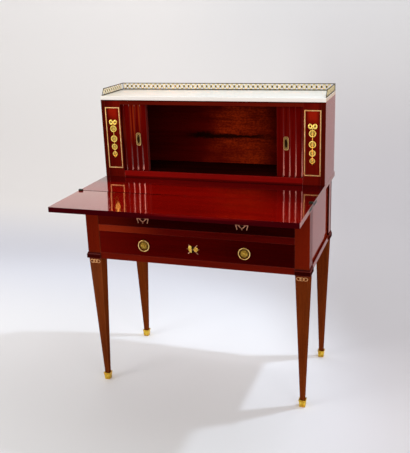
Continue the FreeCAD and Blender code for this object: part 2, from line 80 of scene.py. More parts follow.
class Wire:
    # an output socket that can be added, multiplied and so on
    def __init__(self, graph, socket):
        self.graph = graph
        self.socket = socket

    def maths(self, operation, *values):
        return self.graph.node("ShaderNodeMath", {"operation": operation}, dict(enumerate(values)))

    def __add__(self, other):
        return self.maths("ADD", self, other)

    def __sub__(self, other):
        return self.maths("SUBTRACT", self, other)

    def __rsub__(self, other):
        return self.maths("SUBTRACT", other, self)

    def __mul__(self, other):
        return self.maths("MULTIPLY", self, other)

    __radd__ = __add__
    __rmul__ = __mul__

    def __abs__(self):
        return self.maths("ABSOLUTE", self)

    def most(self, other):
        return self.maths("MAXIMUM", self, other)


class Graph:
    # the nodes of a material or of the world
    def __init__(self, tree):
        self.tree = tree

    def node(self, kind, settings=None, inputs=None, output=0):
        made = self.tree.nodes.new(kind)
        for name, value in (settings or {}).items():
            setattr(made, name, value)
        for name, value in (inputs or {}).items():
            if isinstance(value, Wire):
                self.tree.links.new(value.socket, made.inputs[name])
            else:
                made.inputs[name].default_value = value
        return Wire(self, made.outputs[output])

    def range(self, wire, low, high, out0=0.0, out1=1.0, curve="SMOOTHSTEP"):
        return self.node("ShaderNodeMapRange", {"interpolation_type": curve},
                         {"Value": wire, "From Min": low, "From Max": high, "To Min": out0, "To Max": out1})

    def split(self, vector):
        parts = self.node("ShaderNodeSeparateXYZ", None, {"Vector": vector}).socket.node.outputs
        return [Wire(self, part) for part in parts]


class Paint(Graph):
    def __init__(self, name, **fixed):
        # fixed: numbers that are the same all over
        self.material = bpy.data.materials.new(name)
        self.material.use_nodes = True
        super().__init__(self.material.node_tree)
        self.shader = self.tree.nodes["Principled BSDF"]
        self.place = self.node("ShaderNodeTexCoord", output="Object")
        for key, value in fixed.items():
            self.shader.inputs[key.replace("_", " ")].default_value = value

    def feed(self, name, wire):
        self.tree.links.new(wire.socket, self.shader.inputs[name])

    def noise(self, scale, detail=2, roughness=0.5, shift=(0, 0, 0), distortion=0.0):
        place = self.node("ShaderNodeMapping", None, {"Vector": self.place, "Scale": scale, "Location": shift})
        return self.node("ShaderNodeTexNoise", None, {"Vector": place, "Scale": 1.0, "Detail": detail,
                                                      "Roughness": roughness, "Distortion": distortion})

    def mix(self, share, first, second):
        return self.node("ShaderNodeMix", {"data_type": "RGBA"}, {"Factor": share, 6: first, 7: second}, output=2)

    # lays a tone over a colour by a share: used for real colour and for painted light and shade alike
    def stain(self, colour, share, tone):
        return self.mix(share, colour, linear(*tone))

    def bump(self, height, depth):
        self.feed("Normal", self.node("ShaderNodeBump", None, {"Height": height, "Distance": depth}))

    def axis(self, letter):
        return self.node("ShaderNodeSeparateXYZ", None, {"Vector": self.place}, output=letter)

    def across(self, letter, start, end, out0=0.0, out1=1.0):
        # from 0 at one place along an axis to 1 at another
        return self.range(self.axis(letter), start, end, out0, out1)

    def looking(self):
        # how far a face looks along X, Y and Z, with its sign
        return self.split(self.node("ShaderNodeTexCoord", output="Normal"))

    def facing(self):
        return [abs(part) for part in self.looking()]

    def squarely(self):
        # 1 on the faces that look straight along X, Y and Z, either way
        return [self.range(part, 0.8, 0.95) for part in self.facing()]


# woods

axisOrder = "XYZ"
# light, dark, worn: colours of the figure and of rounded edges; rough; shine: mirror-like share of the wood itself;
# coat: lacquer on flat faces; edge: lacquer on rounded edges, where hands have polished them
polish = {
    "top": ((152, 10, 3), (94, 3, 1), (150, 40, 14), 0.05, 0.0, 1.0, 0.9),
    "gloss": ((152, 10, 3), (94, 3, 1), (150, 40, 14), 0.05, 0.5, 0.0, 0.0),
    "front": ((86, 4, 2), (46, 1, 1), (120, 20, 10), 0.3, 0.0, 0.0, 0.3),
    # painted shade: darker drawer-front colours for the upper drawer, in the leaf's shade
    "shade": ((50, 2, 1), (26, 1, 1), (90, 14, 8), 0.3, 0.0, 0.0, 0.25),
    "rail": ((122, 28, 11), (80, 11, 6), (140, 40, 18), 0.3, 0.0, 0.0, 0.3),
    # painted shade: darker rail colours for the middle rail under the leaf
    "midRail": ((104, 14, 8), (62, 4, 3), (150, 40, 24), 0.3, 0.0, 0.0, 0.3),
    # painted light: brighter rail colours for the cabinet's bottom rail
    "deepRail": ((162, 18, 12), (112, 8, 7), (150, 30, 18), 0.3, 0.0, 0.0, 0.3),
    "pilaster": ((122, 20, 8), (74, 5, 3), (130, 30, 12), 0.3, 0.0, 0.0, 0.3),
    "side": ((166, 52, 16), (122, 26, 8), (150, 60, 30), 0.16, 0.0, 0.82, 0.3),
    "leg": ((132, 58, 18), (80, 28, 8), (140, 78, 34), 0.35, 0.0, 0.0, 0.2),
    "inside": ((56, 6, 3), (24, 2, 1), (90, 24, 8), 0.5, 0.0, 0.0, 0.05),
    "back": ((96, 8, 4), (56, 2, 1), (90, 24, 8), 0.5, 0.0, 0.0, 0.05),
    "slat": ((124, 8, 4), (66, 2, 1), (124, 8, 4), 0.12, 0.0, 0.0, 0.0),
    "moulding": ((72, 8, 4), (34, 3, 2), (110, 40, 34), 0.3, 0.0, 0.0, 0.3),
}
# how many streaks to the metre, along the grain and across it
grainScale = {"ribbon": (1.3, 24), "streak": (9, 260), "pore": (55, 1500), "cloud": (3.1, 3.1)}
# how strongly the lacquer and the wood mirror; the usual value, then where it differs
mirroring = {"usual": 1.5, "lacquer": {"top": 2.2, "slat": 1.8}, "wood": {"gloss": 2.2}}
# where the posts turn from brown legs to redder corner posts, and where their sides are lacquered
postShape = {"red": (0.47, 0.53), "redness": ((124, 32, 9), (82, 12, 5)), "lacquer": (0.511, 0.515), "coat": 0.5}
# the joint between the leaf and the fixed half, dark on the left where it gapes
seam = {"y": -0.1082, "half": 0.0032, "soft": 0.0003, "reach": (0.1, -0.14), "tone": (24, 5, 4)}
# the desk top's dark right side, painted shade in a strip along the cabinet's foot, its ends, and its front edge,
# painted dark as shade with a stretch of painted light
deskTone = {"right": (40, 2, 2), "foot": (36, 1, 4), "end": (170, 92, 72), "edge": (56, 2, 7), "lit": (112, 8, 8)}
darkFigure = (20, 2, 1)


def along(grain, alongScale, acrossScale):
    return tuple(alongScale if letter == grain else acrossScale for letter in axisOrder)


def mahogany(name, grain, finish, figure=0.8, shift=(0, 0, 0), patch=None, lacquer=None, slope=0):
    light, dark, worn, rough, shine, coat, edgeCoat = polish[finish]
    usual = mirroring["usual"]
    paint = Paint(name, Specular_IOR_Level=shine, Coat_Roughness=0.05,
                  Coat_IOR=mirroring["lacquer"].get(finish, usual), IOR=mirroring["wood"].get(finish, usual))
    scale = {layer: along(grain, *scales) for layer, scales in grainScale.items()}
    ribbon = paint.noise(scale["ribbon"], detail=3, roughness=0.55, shift=shift, distortion=0.4)
    streak = paint.noise(scale["streak"], detail=3, roughness=0.6, shift=shift)
    cloud = paint.noise(scale["cloud"], shift=shift)
    pore = paint.range(paint.noise(scale["pore"], detail=1, shift=shift), 0.6, 0.72)
    tone = paint.range(ribbon * (0.55 * figure) + streak * 0.3 + cloud * 0.45 - 0.15 * figure, 0.2, 0.85)
    colour = paint.mix(tone, linear(*dark), linear(*light))
    if patch:
        colour = patch(paint, colour, ribbon, streak)
    # 1 on rounded edges and 0 on faces that look straight along an axis
    x, y, z = paint.facing()
    edge = paint.range(x.most(y).most(z), 0.985, 0.9)
    colour = paint.stain(colour, pore * 0.45, darkFigure)
    colour = paint.stain(colour, edge * (streak * 0.5 + 0.25), worn)
    weight = edge * (edgeCoat - coat) + coat
    if lacquer:
        colour, weight = lacquer(paint, colour, weight)
    paint.feed("Base Color", colour)
    paint.feed("Roughness", streak * 0.06 + cloud * 0.05 + (rough - 0.055))
    paint.feed("Coat Weight", weight)
    depth = 0.00004
    relief = streak * 0.4 - pore * 0.3
    if slope:
        # a board that has warped a little
        relief = relief - paint.axis("Y") * (math.tan(math.radians(slope)) / depth)
    paint.bump(relief, depth)
    return paint.material


def topLacquer(paint, colour, weight):
    # the mirror is on the flat and less on the ends, not on the long edges
    end, front, up = paint.squarely()
    rightwards = paint.range(paint.axis("X") * 0.9 + paint.axis("Y"), 0.0, 0.34)
    colour = paint.stain(colour, rightwards * 0.85, deskTone["right"])
    # painted shade along the foot of the cabinet
    colour = paint.stain(colour, paint.across("Y", 0.0, 0.04) * 0.75, deskTone["foot"])
    away = abs(paint.axis("Y") - seam["y"])
    gap = paint.range(away, seam["half"] + seam["soft"], seam["half"] - seam["soft"])
    gap = gap * paint.across("X", *seam["reach"])
    colour = paint.stain(colour, end * 0.6, deskTone["end"])
    # the front faces painted dark as shade, with painted light on the upper part of a stretch of the leaf's front
    # edge
    lit = paint.across("Z", 0.729, 0.737) * paint.across("X", -0.12, 0.02) * paint.across("X", 0.34, 0.12)
    edge = paint.mix(lit * 0.75, linear(*deskTone["edge"]), linear(*deskTone["lit"]))
    colour = paint.mix(front, colour, edge)
    return paint.stain(colour, gap * 0.95, seam["tone"]), weight * (1 - front.most(end * 0.3).most(gap))


def postLacquer(paint, colour, weight):
    # a pale gleam on the outer sides of the corner posts
    side = paint.range(paint.facing()[0], 0.9, 0.98)
    return colour, weight + side * paint.across("Z", *postShape["lacquer"]) * postShape["coat"]


def sideLacquer(paint, colour, weight):
    # lacquered panels; the front edges and the ledges are plain and darker
    side, front, up = paint.squarely()
    plain = front.most(up)
    return paint.stain(colour, plain * 0.85, (56, 4, 3)), weight * (1 - plain)


def slatLacquer(paint, colour, weight):
    # painted highlights: a warm band along some reeds, and pale gleams along the flanks near the ends, none on the
    # leading edge
    x, turned = paint.axis("X"), paint.looking()[0]
    flank = abs(turned)
    inner = paint.range(abs(x), 0.244, 0.25)
    left = paint.range(x, 0.1, -0.1)
    patch = paint.range(paint.noise((44, 1, 3.1), detail=1, shift=(0.3, 0, 0.2)), 0.42, 0.6)
    band = paint.range(flank, 0.03, 0.12) * paint.range(flank, 0.4, 0.3) * patch * (left * 0.5 + 0.1) * inner
    colour = paint.stain(colour, band * paint.across("Z", 0.84, 0.93), (158, 52, 18))
    low = paint.across("Z", 0.87, 0.79, 0.0, 0.12).most(paint.across("Z", 0.79, 0.765))
    low = low * paint.range(left, 0.0, 1.0, 0.8, 1.0)
    high = paint.across("Z", 0.992, 1.004) * left
    paintedHighlight = paint.range(flank, 0.4, 0.7) * (low.most(high) * inner + 0.05)
    sheen = paint.range(turned, -0.14, -0.22) * inner * (left * 0.4 + 0.6)
    sheen = sheen * paint.across("Z", 0.87, 0.83).most(
        paint.across("Z", 1.0, 0.83) * paint.range(x, -0.1, 0.1) * 0.6)
    return paint.stain(colour, paintedHighlight * 0.6, (255, 200, 186)), sheen.most(paintedHighlight * 0.7)


def rearLacquer(paint, colour, weight):
    # the outer sides of the rear posts carry on the lacquer of the side panels
    bright = paint.squarely()[0] * paint.across("Z", *postShape["lacquer"]) * paint.across("Y", 0.309, 0.305)
    return paint.stain(colour, bright, (144, 40, 12)), weight + bright * 0.85


def shadeUnderMarble(paint, colour, ribbon, streak):
    # painted shadow in a line where the marble rests, and painted shade on the inner edges beside the opening
    line = paint.across("Z", 1.0135, 1.0165).most(paint.squarely()[0])
    return paint.stain(colour, line * 0.85, (18, 2, 2))


def pilasterTone(paint, colour, ribbon, streak):
    # orange-red at the top of the field, deep red below and outwards
    x, z = abs(paint.axis("X")), paint.axis("Z")
    glow = paint.range(z + ribbon * 0.02, 0.945, 0.985) * paint.range(z, 0.9895, 0.9885)
    glow = glow * paint.range(abs(x - pilasterShape["x"]) + streak * 0.008, 0.028, 0.012)
    colour = paint.stain(colour, paint.range(x + streak * 0.01, 0.38, 0.394) * 0.5, (48, 3, 3))
    colour = paint.stain(colour, glow * 0.65, (172, 32, 12))
    return shadeUnderMarble(paint, colour, ribbon, streak)


def lowerHalfDark(paint, colour, ribbon, streak):
    return paint.stain(colour, paint.across("Z", 0.7455, 0.7425) * 0.75, (60, 3, 3))


def litLeftShadedRight(paint, colour, ribbon, streak):
    # painted light towards the left end of the lower drawer front, painted shade towards the right
    place = paint.axis("X") + ribbon * 0.1
    colour = paint.stain(colour, paint.range(place, -0.05, -0.35) * 0.4, (124, 20, 8))
    return paint.stain(colour, paint.range(place, 0.0, 0.4) * 0.6, (36, 1, 1))


def redPost(paint, colour, ribbon, streak):
    light, dark = (linear(*tone) for tone in postShape["redness"])
    red = paint.mix(ribbon * 0.7 + streak * 0.3, dark, light)
    return paint.mix(paint.across("Z", *postShape["red"]), colour, red)


def shadedRearPost(paint, colour, ribbon, streak):
    # painted shade on the rear posts above the legs, between the side panels and the back
    return paint.stain(colour, paint.across("Z", 0.487, 0.493), (44, 6, 5))


def sunnyEnd(paint, colour, ribbon, streak):
    # the left end of the upper drawer, where the leaf above it casts no shade
    return paint.stain(colour, paint.across("X", -0.12, -0.33) * 0.35, (124, 26, 9))


# painted light on the left end of the middle rail, where the leaf casts no shade
def sunnyRail(paint, colour, ribbon, streak):
    return paint.stain(colour, paint.across("X", -0.06, -0.33) * 0.85, (146, 44, 18))


# the warm patch, whose left side fades out as painted shade, and the dark streak on the inside of the cabinet's
# back, in metres
backMarks = {"left": -0.085, "fade": 0.08, "right": 0.205, "band": 0.864, "bandHalf": 0.009, "warm": (164, 46, 10),
             "deep": (16, 4, 2), "bandLeft": (-0.18, -0.1), "bandRight": (0.22, 0.1)}


def markedBack(paint, colour, ribbon, streak):
    x, z = paint.axis("X"), paint.axis("Z")
    rough = paint.noise((26, 26, 60), detail=5, roughness=0.65)
    cloud = paint.noise((9, 9, 14), detail=4, roughness=0.6)
    shape = backMarks
    inner = paint.range(paint.looking()[1], -0.5, -0.8)
    # the warm patch; its fade towards the left is painted shade
    patch = paint.range(x + (cloud - 0.5) * 0.16, shape["left"], shape["left"] + 2 * shape["fade"]) * inner
    patch = patch * paint.range(x + (cloud - 0.5) * 0.1, shape["right"], shape["right"] - shape["fade"])
    blotch = paint.range(rough * 0.4 + cloud * 0.5 + streak * 0.55, 0.5, 0.95)
    speck = paint.range(paint.noise((120, 120, 190), detail=3, roughness=0.7), 0.38, 0.62)
    colour = paint.stain(colour, patch * (blotch * 0.8 + 0.2) * (speck * 0.75 + 0.5), shape["warm"])
    away = abs(z - shape["band"] + (rough - 0.5) * 0.035) + (0.5 - cloud) * 0.012
    band = paint.range(away, shape["bandHalf"] * 1.5, shape["bandHalf"] * 0.4) * inner
    band = band * paint.range(x, *shape["bandLeft"]) * paint.range(x, *shape["bandRight"])
    return paint.stain(colour, band * 0.93, shape["deep"])


def oak(name, grain):
    paint = Paint(name, Specular_IOR_Level=0.3)
    ribbon = paint.noise(along(grain, 1.5, 40), detail=4, roughness=0.6)
    streak = paint.noise(along(grain, 14, 500))
    spill = paint.noise((5, 5, 5), detail=4, roughness=0.6)
    colour = paint.mix(paint.range(ribbon * 0.6 + streak * 0.4, 0.3, 0.7), linear(120, 84, 50), linear(178, 140, 96))
    colour = paint.stain(colour, paint.range(spill, 0.5, 0.75) * 0.5, (84, 58, 38))
    pore = paint.range(paint.noise(along(grain, 40, 1400), detail=1), 0.58, 0.7)
    paint.feed("Base Color", paint.stain(colour, pore * 0.6, (58, 36, 20)))
    paint.feed("Roughness", streak * 0.2 + 0.5)
    paint.bump(streak * 0.5 - pore, 0.00012)
    return paint.material


# metals, stone and cloth

def giltBrass(name, low, high, rough, relief=None):
    # relief: where the recesses lie and where the tops lie, along Y, for tarnish and painted shade down in the
    # ornament
    paint = Paint(name, Metallic=1.0)
    cloud = paint.noise((90, 90, 90), detail=3)
    speck = paint.noise((700, 700, 700))
    share = paint.range(cloud, 0.3, 0.7) * 0.6 + paint.range(speck, 0.4, 0.7) * 0.4
    colour = paint.mix(share, linear(*low), linear(*high))
    dull = speck * 0.12 + cloud * 0.1 + (rough - 0.1)
    if relief:
        top, recess = relief[1], relief[0]
        # darker and duller in the recesses: tarnish, and painted shade that sets off the beads and tops
        deep = paint.range(paint.axis("Y") + (speck - 0.5) * 0.0006, top, recess)
        colour = paint.stain(colour, deep * 0.75, (70, 48, 10))
        dull = dull + deep * 0.3
    paint.feed("Base Color", colour)
    paint.feed("Roughness", dull)
    paint.bump(cloud + speck * 0.3, 0.00015)
    return paint.material


def marble(name):
    paint = Paint(name, Coat_Roughness=0.08, Specular_IOR_Level=0.5)
    warp = paint.noise((6, 6, 6), detail=5, roughness=0.65)
    vein = abs(paint.noise((4, 9, 9), detail=6, roughness=0.6, distortion=1.2) - 0.5)
    colour = paint.mix(paint.range(warp, 0.4, 0.75), linear(248, 246, 240), linear(238, 236, 230))
    warm = paint.range(paint.axis("X") + warp * 0.2, 0.1, -0.35)
    colour = paint.stain(colour, warm * 0.7, (243, 230, 214))
    colour = paint.stain(colour, paint.range(vein, 0.02, 0.0) * 0.22, (196, 192, 186))
    # painted light on the front edge, painted shade on the top and on the sides
    side, front, up = paint.squarely()
    colour = paint.stain(colour, up * 0.19, (120, 119, 112))
    colour = paint.stain(colour, front, (255, 250, 242))
    paint.feed("Base Color", paint.stain(colour, side * 0.9, (212, 172, 132)))
    paint.feed("Roughness", warp * 0.1 + 0.2)
    return paint.material


def plainMetal(name, dark, light, rough):
    paint = Paint(name, Metallic=1.0)
    cloud = paint.noise((60, 60, 60), detail=4, roughness=0.7)
    brushed = paint.noise((40, 1800, 900), detail=1)
    paint.feed("Base Color", paint.mix(paint.range(cloud, 0.35, 0.65), linear(*dark), linear(*light)))
    paint.feed("Roughness", brushed * 0.15 + cloud * 0.15 + (rough - 0.15))
    paint.bump(cloud * 0.6 + brushed * 0.4, 0.0001)
    return paint.material


def canvas(name, threads=420.0):
    paint = Paint(name, Specular_IOR_Level=0.1)
    warp, weft = (paint.node("ShaderNodeTexWave", {"bands_direction": letter},
                             {"Vector": paint.place, "Scale": threads}, output="Fac") for letter in "XZ")
    cloud = paint.noise((20, 20, 20), detail=4)
    weave = warp * 0.5 + weft * 0.5
    paint.feed("Base Color", paint.mix(weave * 0.6 + cloud * 0.4, linear(82, 66, 44), linear(150, 128, 94)))
    paint.feed("Roughness", cloud * 0.1 + 0.85)
    paint.bump(weave, 0.0003)
    return paint.material


# stage and light

stageShape = {"front": -7.0, "bend": 2.3, "rise": 1.1, "height": 3.0, "halfWidth": 9.0, "drop": 0.0004}
# painted light and shade on the sweep: a bright pool near the desk, darker to the left, to the front and further
# back, a paler tone far back, the wall high up and its brighter left, and a dimming off to the right near and far
stageShading = {"near": (249, 249, 254), "left": (230, 229, 232), "front": (222, 221, 223), "back": (212, 213, 223),
             "far": (232, 229, 229), "wall": (239, 239, 241), "wallLeft": (251, 249, 249), "right": (229, 227, 233),
             "rightFar": (204, 202, 208)}
stageGlow = (0.46, 0.24, 0.16, 1)
# strength of the pale room by height of the direction, for light and for mirrored rays, and a low warm strip on the
# left, seen only where one mirror shows another: where each of its sides fades, in the direction's own X, Y and Z
studio = {"low": 0.58, "high": 1.04, "mirroredBehind": 1.0, "mirroredAhead": 0.9, "tint": (1, 0.985, 0.955, 1),
          "strip": (("Z", 0.175, 0.195), ("Z", 0.275, 0.255), ("X", -0.4, -0.5), ("Y", 0.1, -0.1)),
          "stripColour": (1, 0.32, 0.23, 1), "stripStrength": 22}
keyLight = {"place": (2.0, 0.914, 4.0), "target": (-0.85, -0.3, 0), "power": 240, "radius": 0.12, "cone": 36,
            "blend": 0.5, "colour": (0.74, 0.87, 1.0)}
# name: place, target, width, height, power
softLights = {"leftFill": ((-2.6, -2.6, 1.6), (0, 0, 0.4), 1.4, 1.2, 26),
              "rightFill": ((2.4, -2.4, 1.8), (0, 0, 0.6), 1.2, 1.2, 13),
              "wallWash": ((-0.4, 1.3, 3.5), (-0.5, 2.6, 1.9), 3.0, 0.5, 15)}


def paintStage():
    paint = Paint("sweep", Roughness=0.9, Specular_IOR_Level=0.0, Emission_Strength=1.0)
    look = {name: linear(*tone) for name, tone in stageShading.items()}
    # painted light and shade over the floor and the wall
    colour = paint.mix(paint.across("X", -0.1, -0.7), look["near"], look["left"])
    colour = paint.mix(paint.across("Y", 0.25, -0.4), colour, look["front"])
    colour = paint.mix(paint.across("Y", 0.2, 1.1), colour, look["back"])
    colour = paint.mix(paint.across("Y", 1.1, 2.1), colour, look["far"])
    wall = paint.mix(paint.across("X", -0.4, -1.7), look["wall"], look["wallLeft"])
    colour = paint.mix(paint.across("Z", 0.0, 1.4), colour, wall)
    right = paint.mix(paint.across("Y", -0.2, 0.6), look["right"], look["rightFar"])
    # painted shade off to the right, fading out high on the wall
    aside = paint.range(paint.axis("X") + paint.axis("Y") * 0.19, 0.1, 0.62)
    paint.feed("Base Color", paint.mix(aside * paint.across("Z", 1.25, 0.0, 0.1, 1.0), colour, right))
    # the left of the wall glows brighter and warmer, though it is no lamp, only in mirrored rays: a painted
    # reflection in polished surfaces
    glow = paint.across("Z", 1.3, 1.42) * paint.across("X", -0.9, -1.5) * paint.across("Z", 1.6, 1.45, 0.5, 1.0)
    glow = glow * paint.node("ShaderNodeLightPath", output="Is Glossy Ray")
    paint.feed("Emission Color", paint.mix(glow, (0, 0, 0, 1), stageGlow))
    return paint.material


def buildStage():
    shape = stageShape
    startFresh()
    depth = shape["bend"] + shape["rise"] - shape["front"]
    bpy.ops.mesh.primitive_plane_add(size=1, location=(0, shape["front"] + depth / 2, -shape["drop"]))
    sweep = bpy.context.object
    sweep.name = "sweep"
    sweep.scale = (2 * shape["halfWidth"], depth, 1)
    bpy.ops.object.transform_apply(location=True, scale=True)
    bpy.ops.object.mode_set(mode="EDIT")
    backwards = shape["front"] + depth - 0.01
    chooseEdges(sweep, lambda middle: middle.y > backwards)
    bpy.ops.mesh.extrude_region_move(TRANSFORM_OT_translate={"value": (0, 0, shape["height"])})
    chooseEdges(sweep, lambda middle: middle.y > backwards and middle.z < 0.01)
    bpy.ops.mesh.bevel(offset=shape["rise"], segments=24, affect="EDGES")
    leaveEdit()
    bpy.ops.object.shade_smooth()
    sweep.data.materials.append(paintStage())
    print("stage built")


def lightRoom():
    world = bpy.data.worlds.new("studio")
    bpy.context.scene.world = world
    world.use_nodes = True
    room = Graph(world.node_tree)
    way = dict(zip(axisOrder, room.split(room.node("ShaderNodeTexCoord", output="Generated"))))
    mirrored = room.node("ShaderNodeLightPath", output="Is Glossy Ray")
    plain = room.range(way["Z"], 0, 1, studio["low"], studio["high"], "LINEAR")
    shown = room.range(way["Y"], -0.5, 0.3, studio["mirroredAhead"], studio["mirroredBehind"], "LINEAR")
    back = room.node("ShaderNodeBackground", None, {"Color": studio["tint"],
                                                    "Strength": plain * (1 - mirrored) + shown * mirrored})
    share = room.range(room.node("ShaderNodeLightPath", output="Glossy Depth"), 1.4, 1.6, curve="LINEAR")
    for letter, start, end in studio["strip"]:
        share = share * room.range(way[letter], start, end, curve="LINEAR")
    strip = room.node("ShaderNodeBackground", None, {"Color": studio["stripColour"],
                                                     "Strength": studio["stripStrength"]})
    both = room.node("ShaderNodeMixShader", None, {0: share, 1: back, 2: strip})
    room.tree.links.new(both.socket, room.tree.nodes["World Output"].inputs["Surface"])


def addLamp(name, kind, place, target, **facts):
    data = bpy.data.lights.new(name, kind)
    for fact, value in facts.items():
        setattr(data, fact, value)
    lamp = bpy.data.objects.new(name, data)
    bpy.context.scene.collection.objects.link(lamp)
    lamp.location = place
    lamp.rotation_euler = (Vector(target) - Vector(place)).to_track_quat("-Z", "Y").to_euler()


def placeLamps():
    key = keyLight
    addLamp("keyLamp", "SPOT", key["place"], key["target"], energy=key["power"], color=key["colour"],
            shadow_soft_size=key["radius"], spot_size=math.radians(key["cone"]), spot_blend=key["blend"])
    for name, (place, target, wide, tall, power) in softLights.items():
        addLamp(name, "AREA", place, target, shape="RECTANGLE", size=wide, size_y=tall, energy=power)
    print("lights placed")


# small habits used by every piece

def startFresh():
    if bpy.context.object and bpy.context.object.mode != "OBJECT":
        bpy.ops.object.mode_set(mode="OBJECT")
    bpy.ops.object.select_all(action="DESELECT")


def pick(piece):
    startFresh()
    piece.select_set(True)
    bpy.context.view_layer.objects.active = piece


def edit(piece):
    pick(piece)
    bpy.ops.object.mode_set(mode="EDIT")


def leaveEdit():
    bpy.ops.object.mode_set(mode="OBJECT")


def choose(piece, kind, test):
    # in edit mode: selects the edges or the faces that pass the test
    bpy.ops.mesh.select_mode(type=kind)
    bpy.ops.mesh.select_all(action="DESELECT")
    mesh = bmesh.from_edit_mesh(piece.data)
    for part in mesh.edges if kind == "EDGE" else mesh.faces:
        if test(part):
            part.select_set(True)
    bmesh.update_edit_mesh(piece.data)


def middleOf(edge):
    return (edge.verts[0].co + edge.verts[1].co) / 2


def chooseEdges(piece, test):
    choose(piece, "EDGE", lambda edge: test(middleOf(edge)))


def settle(piece):
    # the place, turn and size go into the mesh
    pick(piece)
    bpy.ops.object.transform_apply(location=True, rotation=True, scale=True)
    return piece


def putAt(piece, place, turn=(0, 0, 0)):
    piece.rotation_euler = [math.radians(angle) for angle in turn]
    piece.location = place
    return settle(piece)


def resized(piece, size):
    piece.scale = size
    return settle(piece)


def applied(piece, kind, **settings):
    modifier = piece.modifiers.new(kind.lower(), kind)
    for name, value in settings.items():
        setattr(modifier, name, value)
    pick(piece)
    bpy.ops.object.modifier_apply(modifier=modifier.name)
    return piece


def copied(piece):
    twin = piece.copy()
    twin.data = piece.data.copy()
    bpy.context.scene.collection.objects.link(twin)
    return twin


def mirroredCopy(piece):
    # the same piece on the other side of the desk
    twin = resized(copied(settle(piece)), (-1, 1, 1))
    edit(twin)
    bpy.ops.mesh.select_all(action="SELECT")
    bpy.ops.mesh.normals_make_consistent(inside=False)
    leaveEdit()
    return twin


def joined(pieces, name):
    startFresh()
    for piece in pieces:
        piece.select_set(True)
    bpy.context.view_layer.objects.active = pieces[0]
    if len(pieces) > 1:
        bpy.ops.object.join()
    whole = bpy.context.object
    whole.name = name
    return whole


def cutAway(piece, tool):
    return applied(piece, "BOOLEAN", operation="DIFFERENCE", object=tool, solver="EXACT")


def removed(piece):
    bpy.data.objects.remove(piece, do_unlink=True)


def row(piece, step, count):
    # the same piece again and again, each one step further
    return applied(piece, "ARRAY", count=count, use_relative_offset=False, use_constant_offset=True,
                   constant_offset_displace=step)


def smooth(piece, degrees=40):
    pick(piece)
    bpy.ops.object.shade_smooth_by_angle(angle=math.radians(degrees))
    return piece


def block(low, high, round=0.0):
    startFresh()
    low, high = Vector(low), Vector(high)
    bpy.ops.mesh.primitive_cube_add(size=1, location=(low + high) / 2)
    piece = resized(bpy.context.object, high - low)
    return applied(piece, "BEVEL", width=round, segments=2) if round else piece


def hoop(place, halfX, halfZ, wire, turn=0.0, count=24, around=8, deep=None):
    # a ring of round wire facing the front, as wide and high as asked over its outside
    startFresh()
    radius = max(halfX, halfZ) - wire
    bpy.ops.mesh.primitive_torus_add(major_radius=radius, minor_radius=wire, major_segments=count,
                                     minor_segments=around, rotation=(math.pi / 2, 0, 0))
    piece = settle(bpy.context.object)
    resized(piece, (halfX / (radius + wire), (deep or wire) / wire, halfZ / (radius + wire)))
    return putAt(piece, place, (0, turn, 0))


def bead(place, size, segments=8, rings=5, turn=0.0):
    startFresh()
    bpy.ops.mesh.primitive_uv_sphere_add(segments=segments, ring_count=rings, radius=1)
    return putAt(resized(bpy.context.object, size), place, (0, turn, 0))


def disc(place, radius, thick, count=32):
    # a round plate facing the front, its back on the given place
    startFresh()
    x, y, z = place
    bpy.ops.mesh.primitive_cylinder_add(vertices=count, radius=radius, depth=thick, rotation=(math.pi / 2, 0, 0),
                                        location=(x, y - thick / 2, z))
    return settle(bpy.context.object)


def oval(place, halfX, halfZ, thick, count=36):
    return putAt(resized(disc((0, 0, 0), 1.0, thick, count), (halfX, 1, halfZ)), place)


def spindle(start, end, first, last, count=10):
    # a round bar between two places, its radius going from first to last
    startFresh()
    start, end = Vector(start), Vector(end)
    way = end - start
    bpy.ops.mesh.primitive_cone_add(vertices=count, radius1=first, radius2=last, depth=way.length,
                                    location=(start + end) / 2, rotation=way.to_track_quat("Z", "Y").to_euler())
    return settle(bpy.context.object)


def frustum(centre, low, lowWidth, high, highWidth):
    # a square tapered block standing on z = low
    startFresh()
    x, y = centre
    bpy.ops.mesh.primitive_cone_add(vertices=4, radius1=lowWidth / math.sqrt(2), radius2=highWidth / math.sqrt(2),
                                    depth=high - low, location=(x, y, (low + high) / 2),
                                    rotation=(0, 0, math.pi / 4))
    return settle(bpy.context.object)


def wreath(centre, radius, count, size, segments=8, rings=5):
    # beads set round a centre, the long ones turned to point outwards
    x, y, z = centre
    pieces = []
    for i in range(count):
        turn = 360 * i / count
        angle = math.radians(turn)
        place = (x + radius * math.sin(angle), y, z + radius * math.cos(angle))
        pieces.append(bead(place, size, segments, rings, turn if size[0] != size[2] else 0.0))
    return pieces


def insetFront(piece, steps):
    # steps of (how far inwards, how far towards the front) made on the front face
    edit(piece)
    front = min(corner.co.y for corner in piece.data.vertices)
    choose(piece, "FACE", lambda face: face.normal.y < -0.9 and face.calc_center_median().y < front + 1e-6)
    for inwards, forwards in steps:
        bpy.ops.mesh.inset(thickness=inwards, depth=forwards)
    leaveEdit()
    return piece


bodyOf = {node: body for body, members in frame["record"]["behaviour"]["bodies"].items() for node in members}


def titled(name):
    words = name.split("_")
    return words[0] + "".join(word.capitalize() for word in words[1:])


def fitted(piece, name, node, finish):
    # last step of a piece: name, finish, the body it moves with and the node it stands for
    piece.name = name
    piece.data.materials.clear()
    piece.data.materials.append(finishes[finish])
    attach(piece, bodyOf[node])
    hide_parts(node)


def gilded(pieces, name, node, finish, degrees=40):
    fitted(smooth(joined(pieces, name), degrees), name, node, finish)


def bothSides(pieces, name, node, finish, degrees=40):
    # the right-hand parts and their mirror image as one piece
    right = joined(pieces, name)
    gilded([right, mirroredCopy(right)], name, node, finish, degrees)


def eachSide(right, name, node, finish, degrees=40):
    # the right-hand part and its mirror image as two pieces; * and ~ stand for the side in the name and the node
    left = mirroredCopy(right)
    for piece, side in ((right, "Right"), (left, "Left")):
        title = name.replace("*", side).replace("~", side.lower())
        gilded([piece], title, node.replace("~", side.lower()), finish, degrees)


# what each node is made of

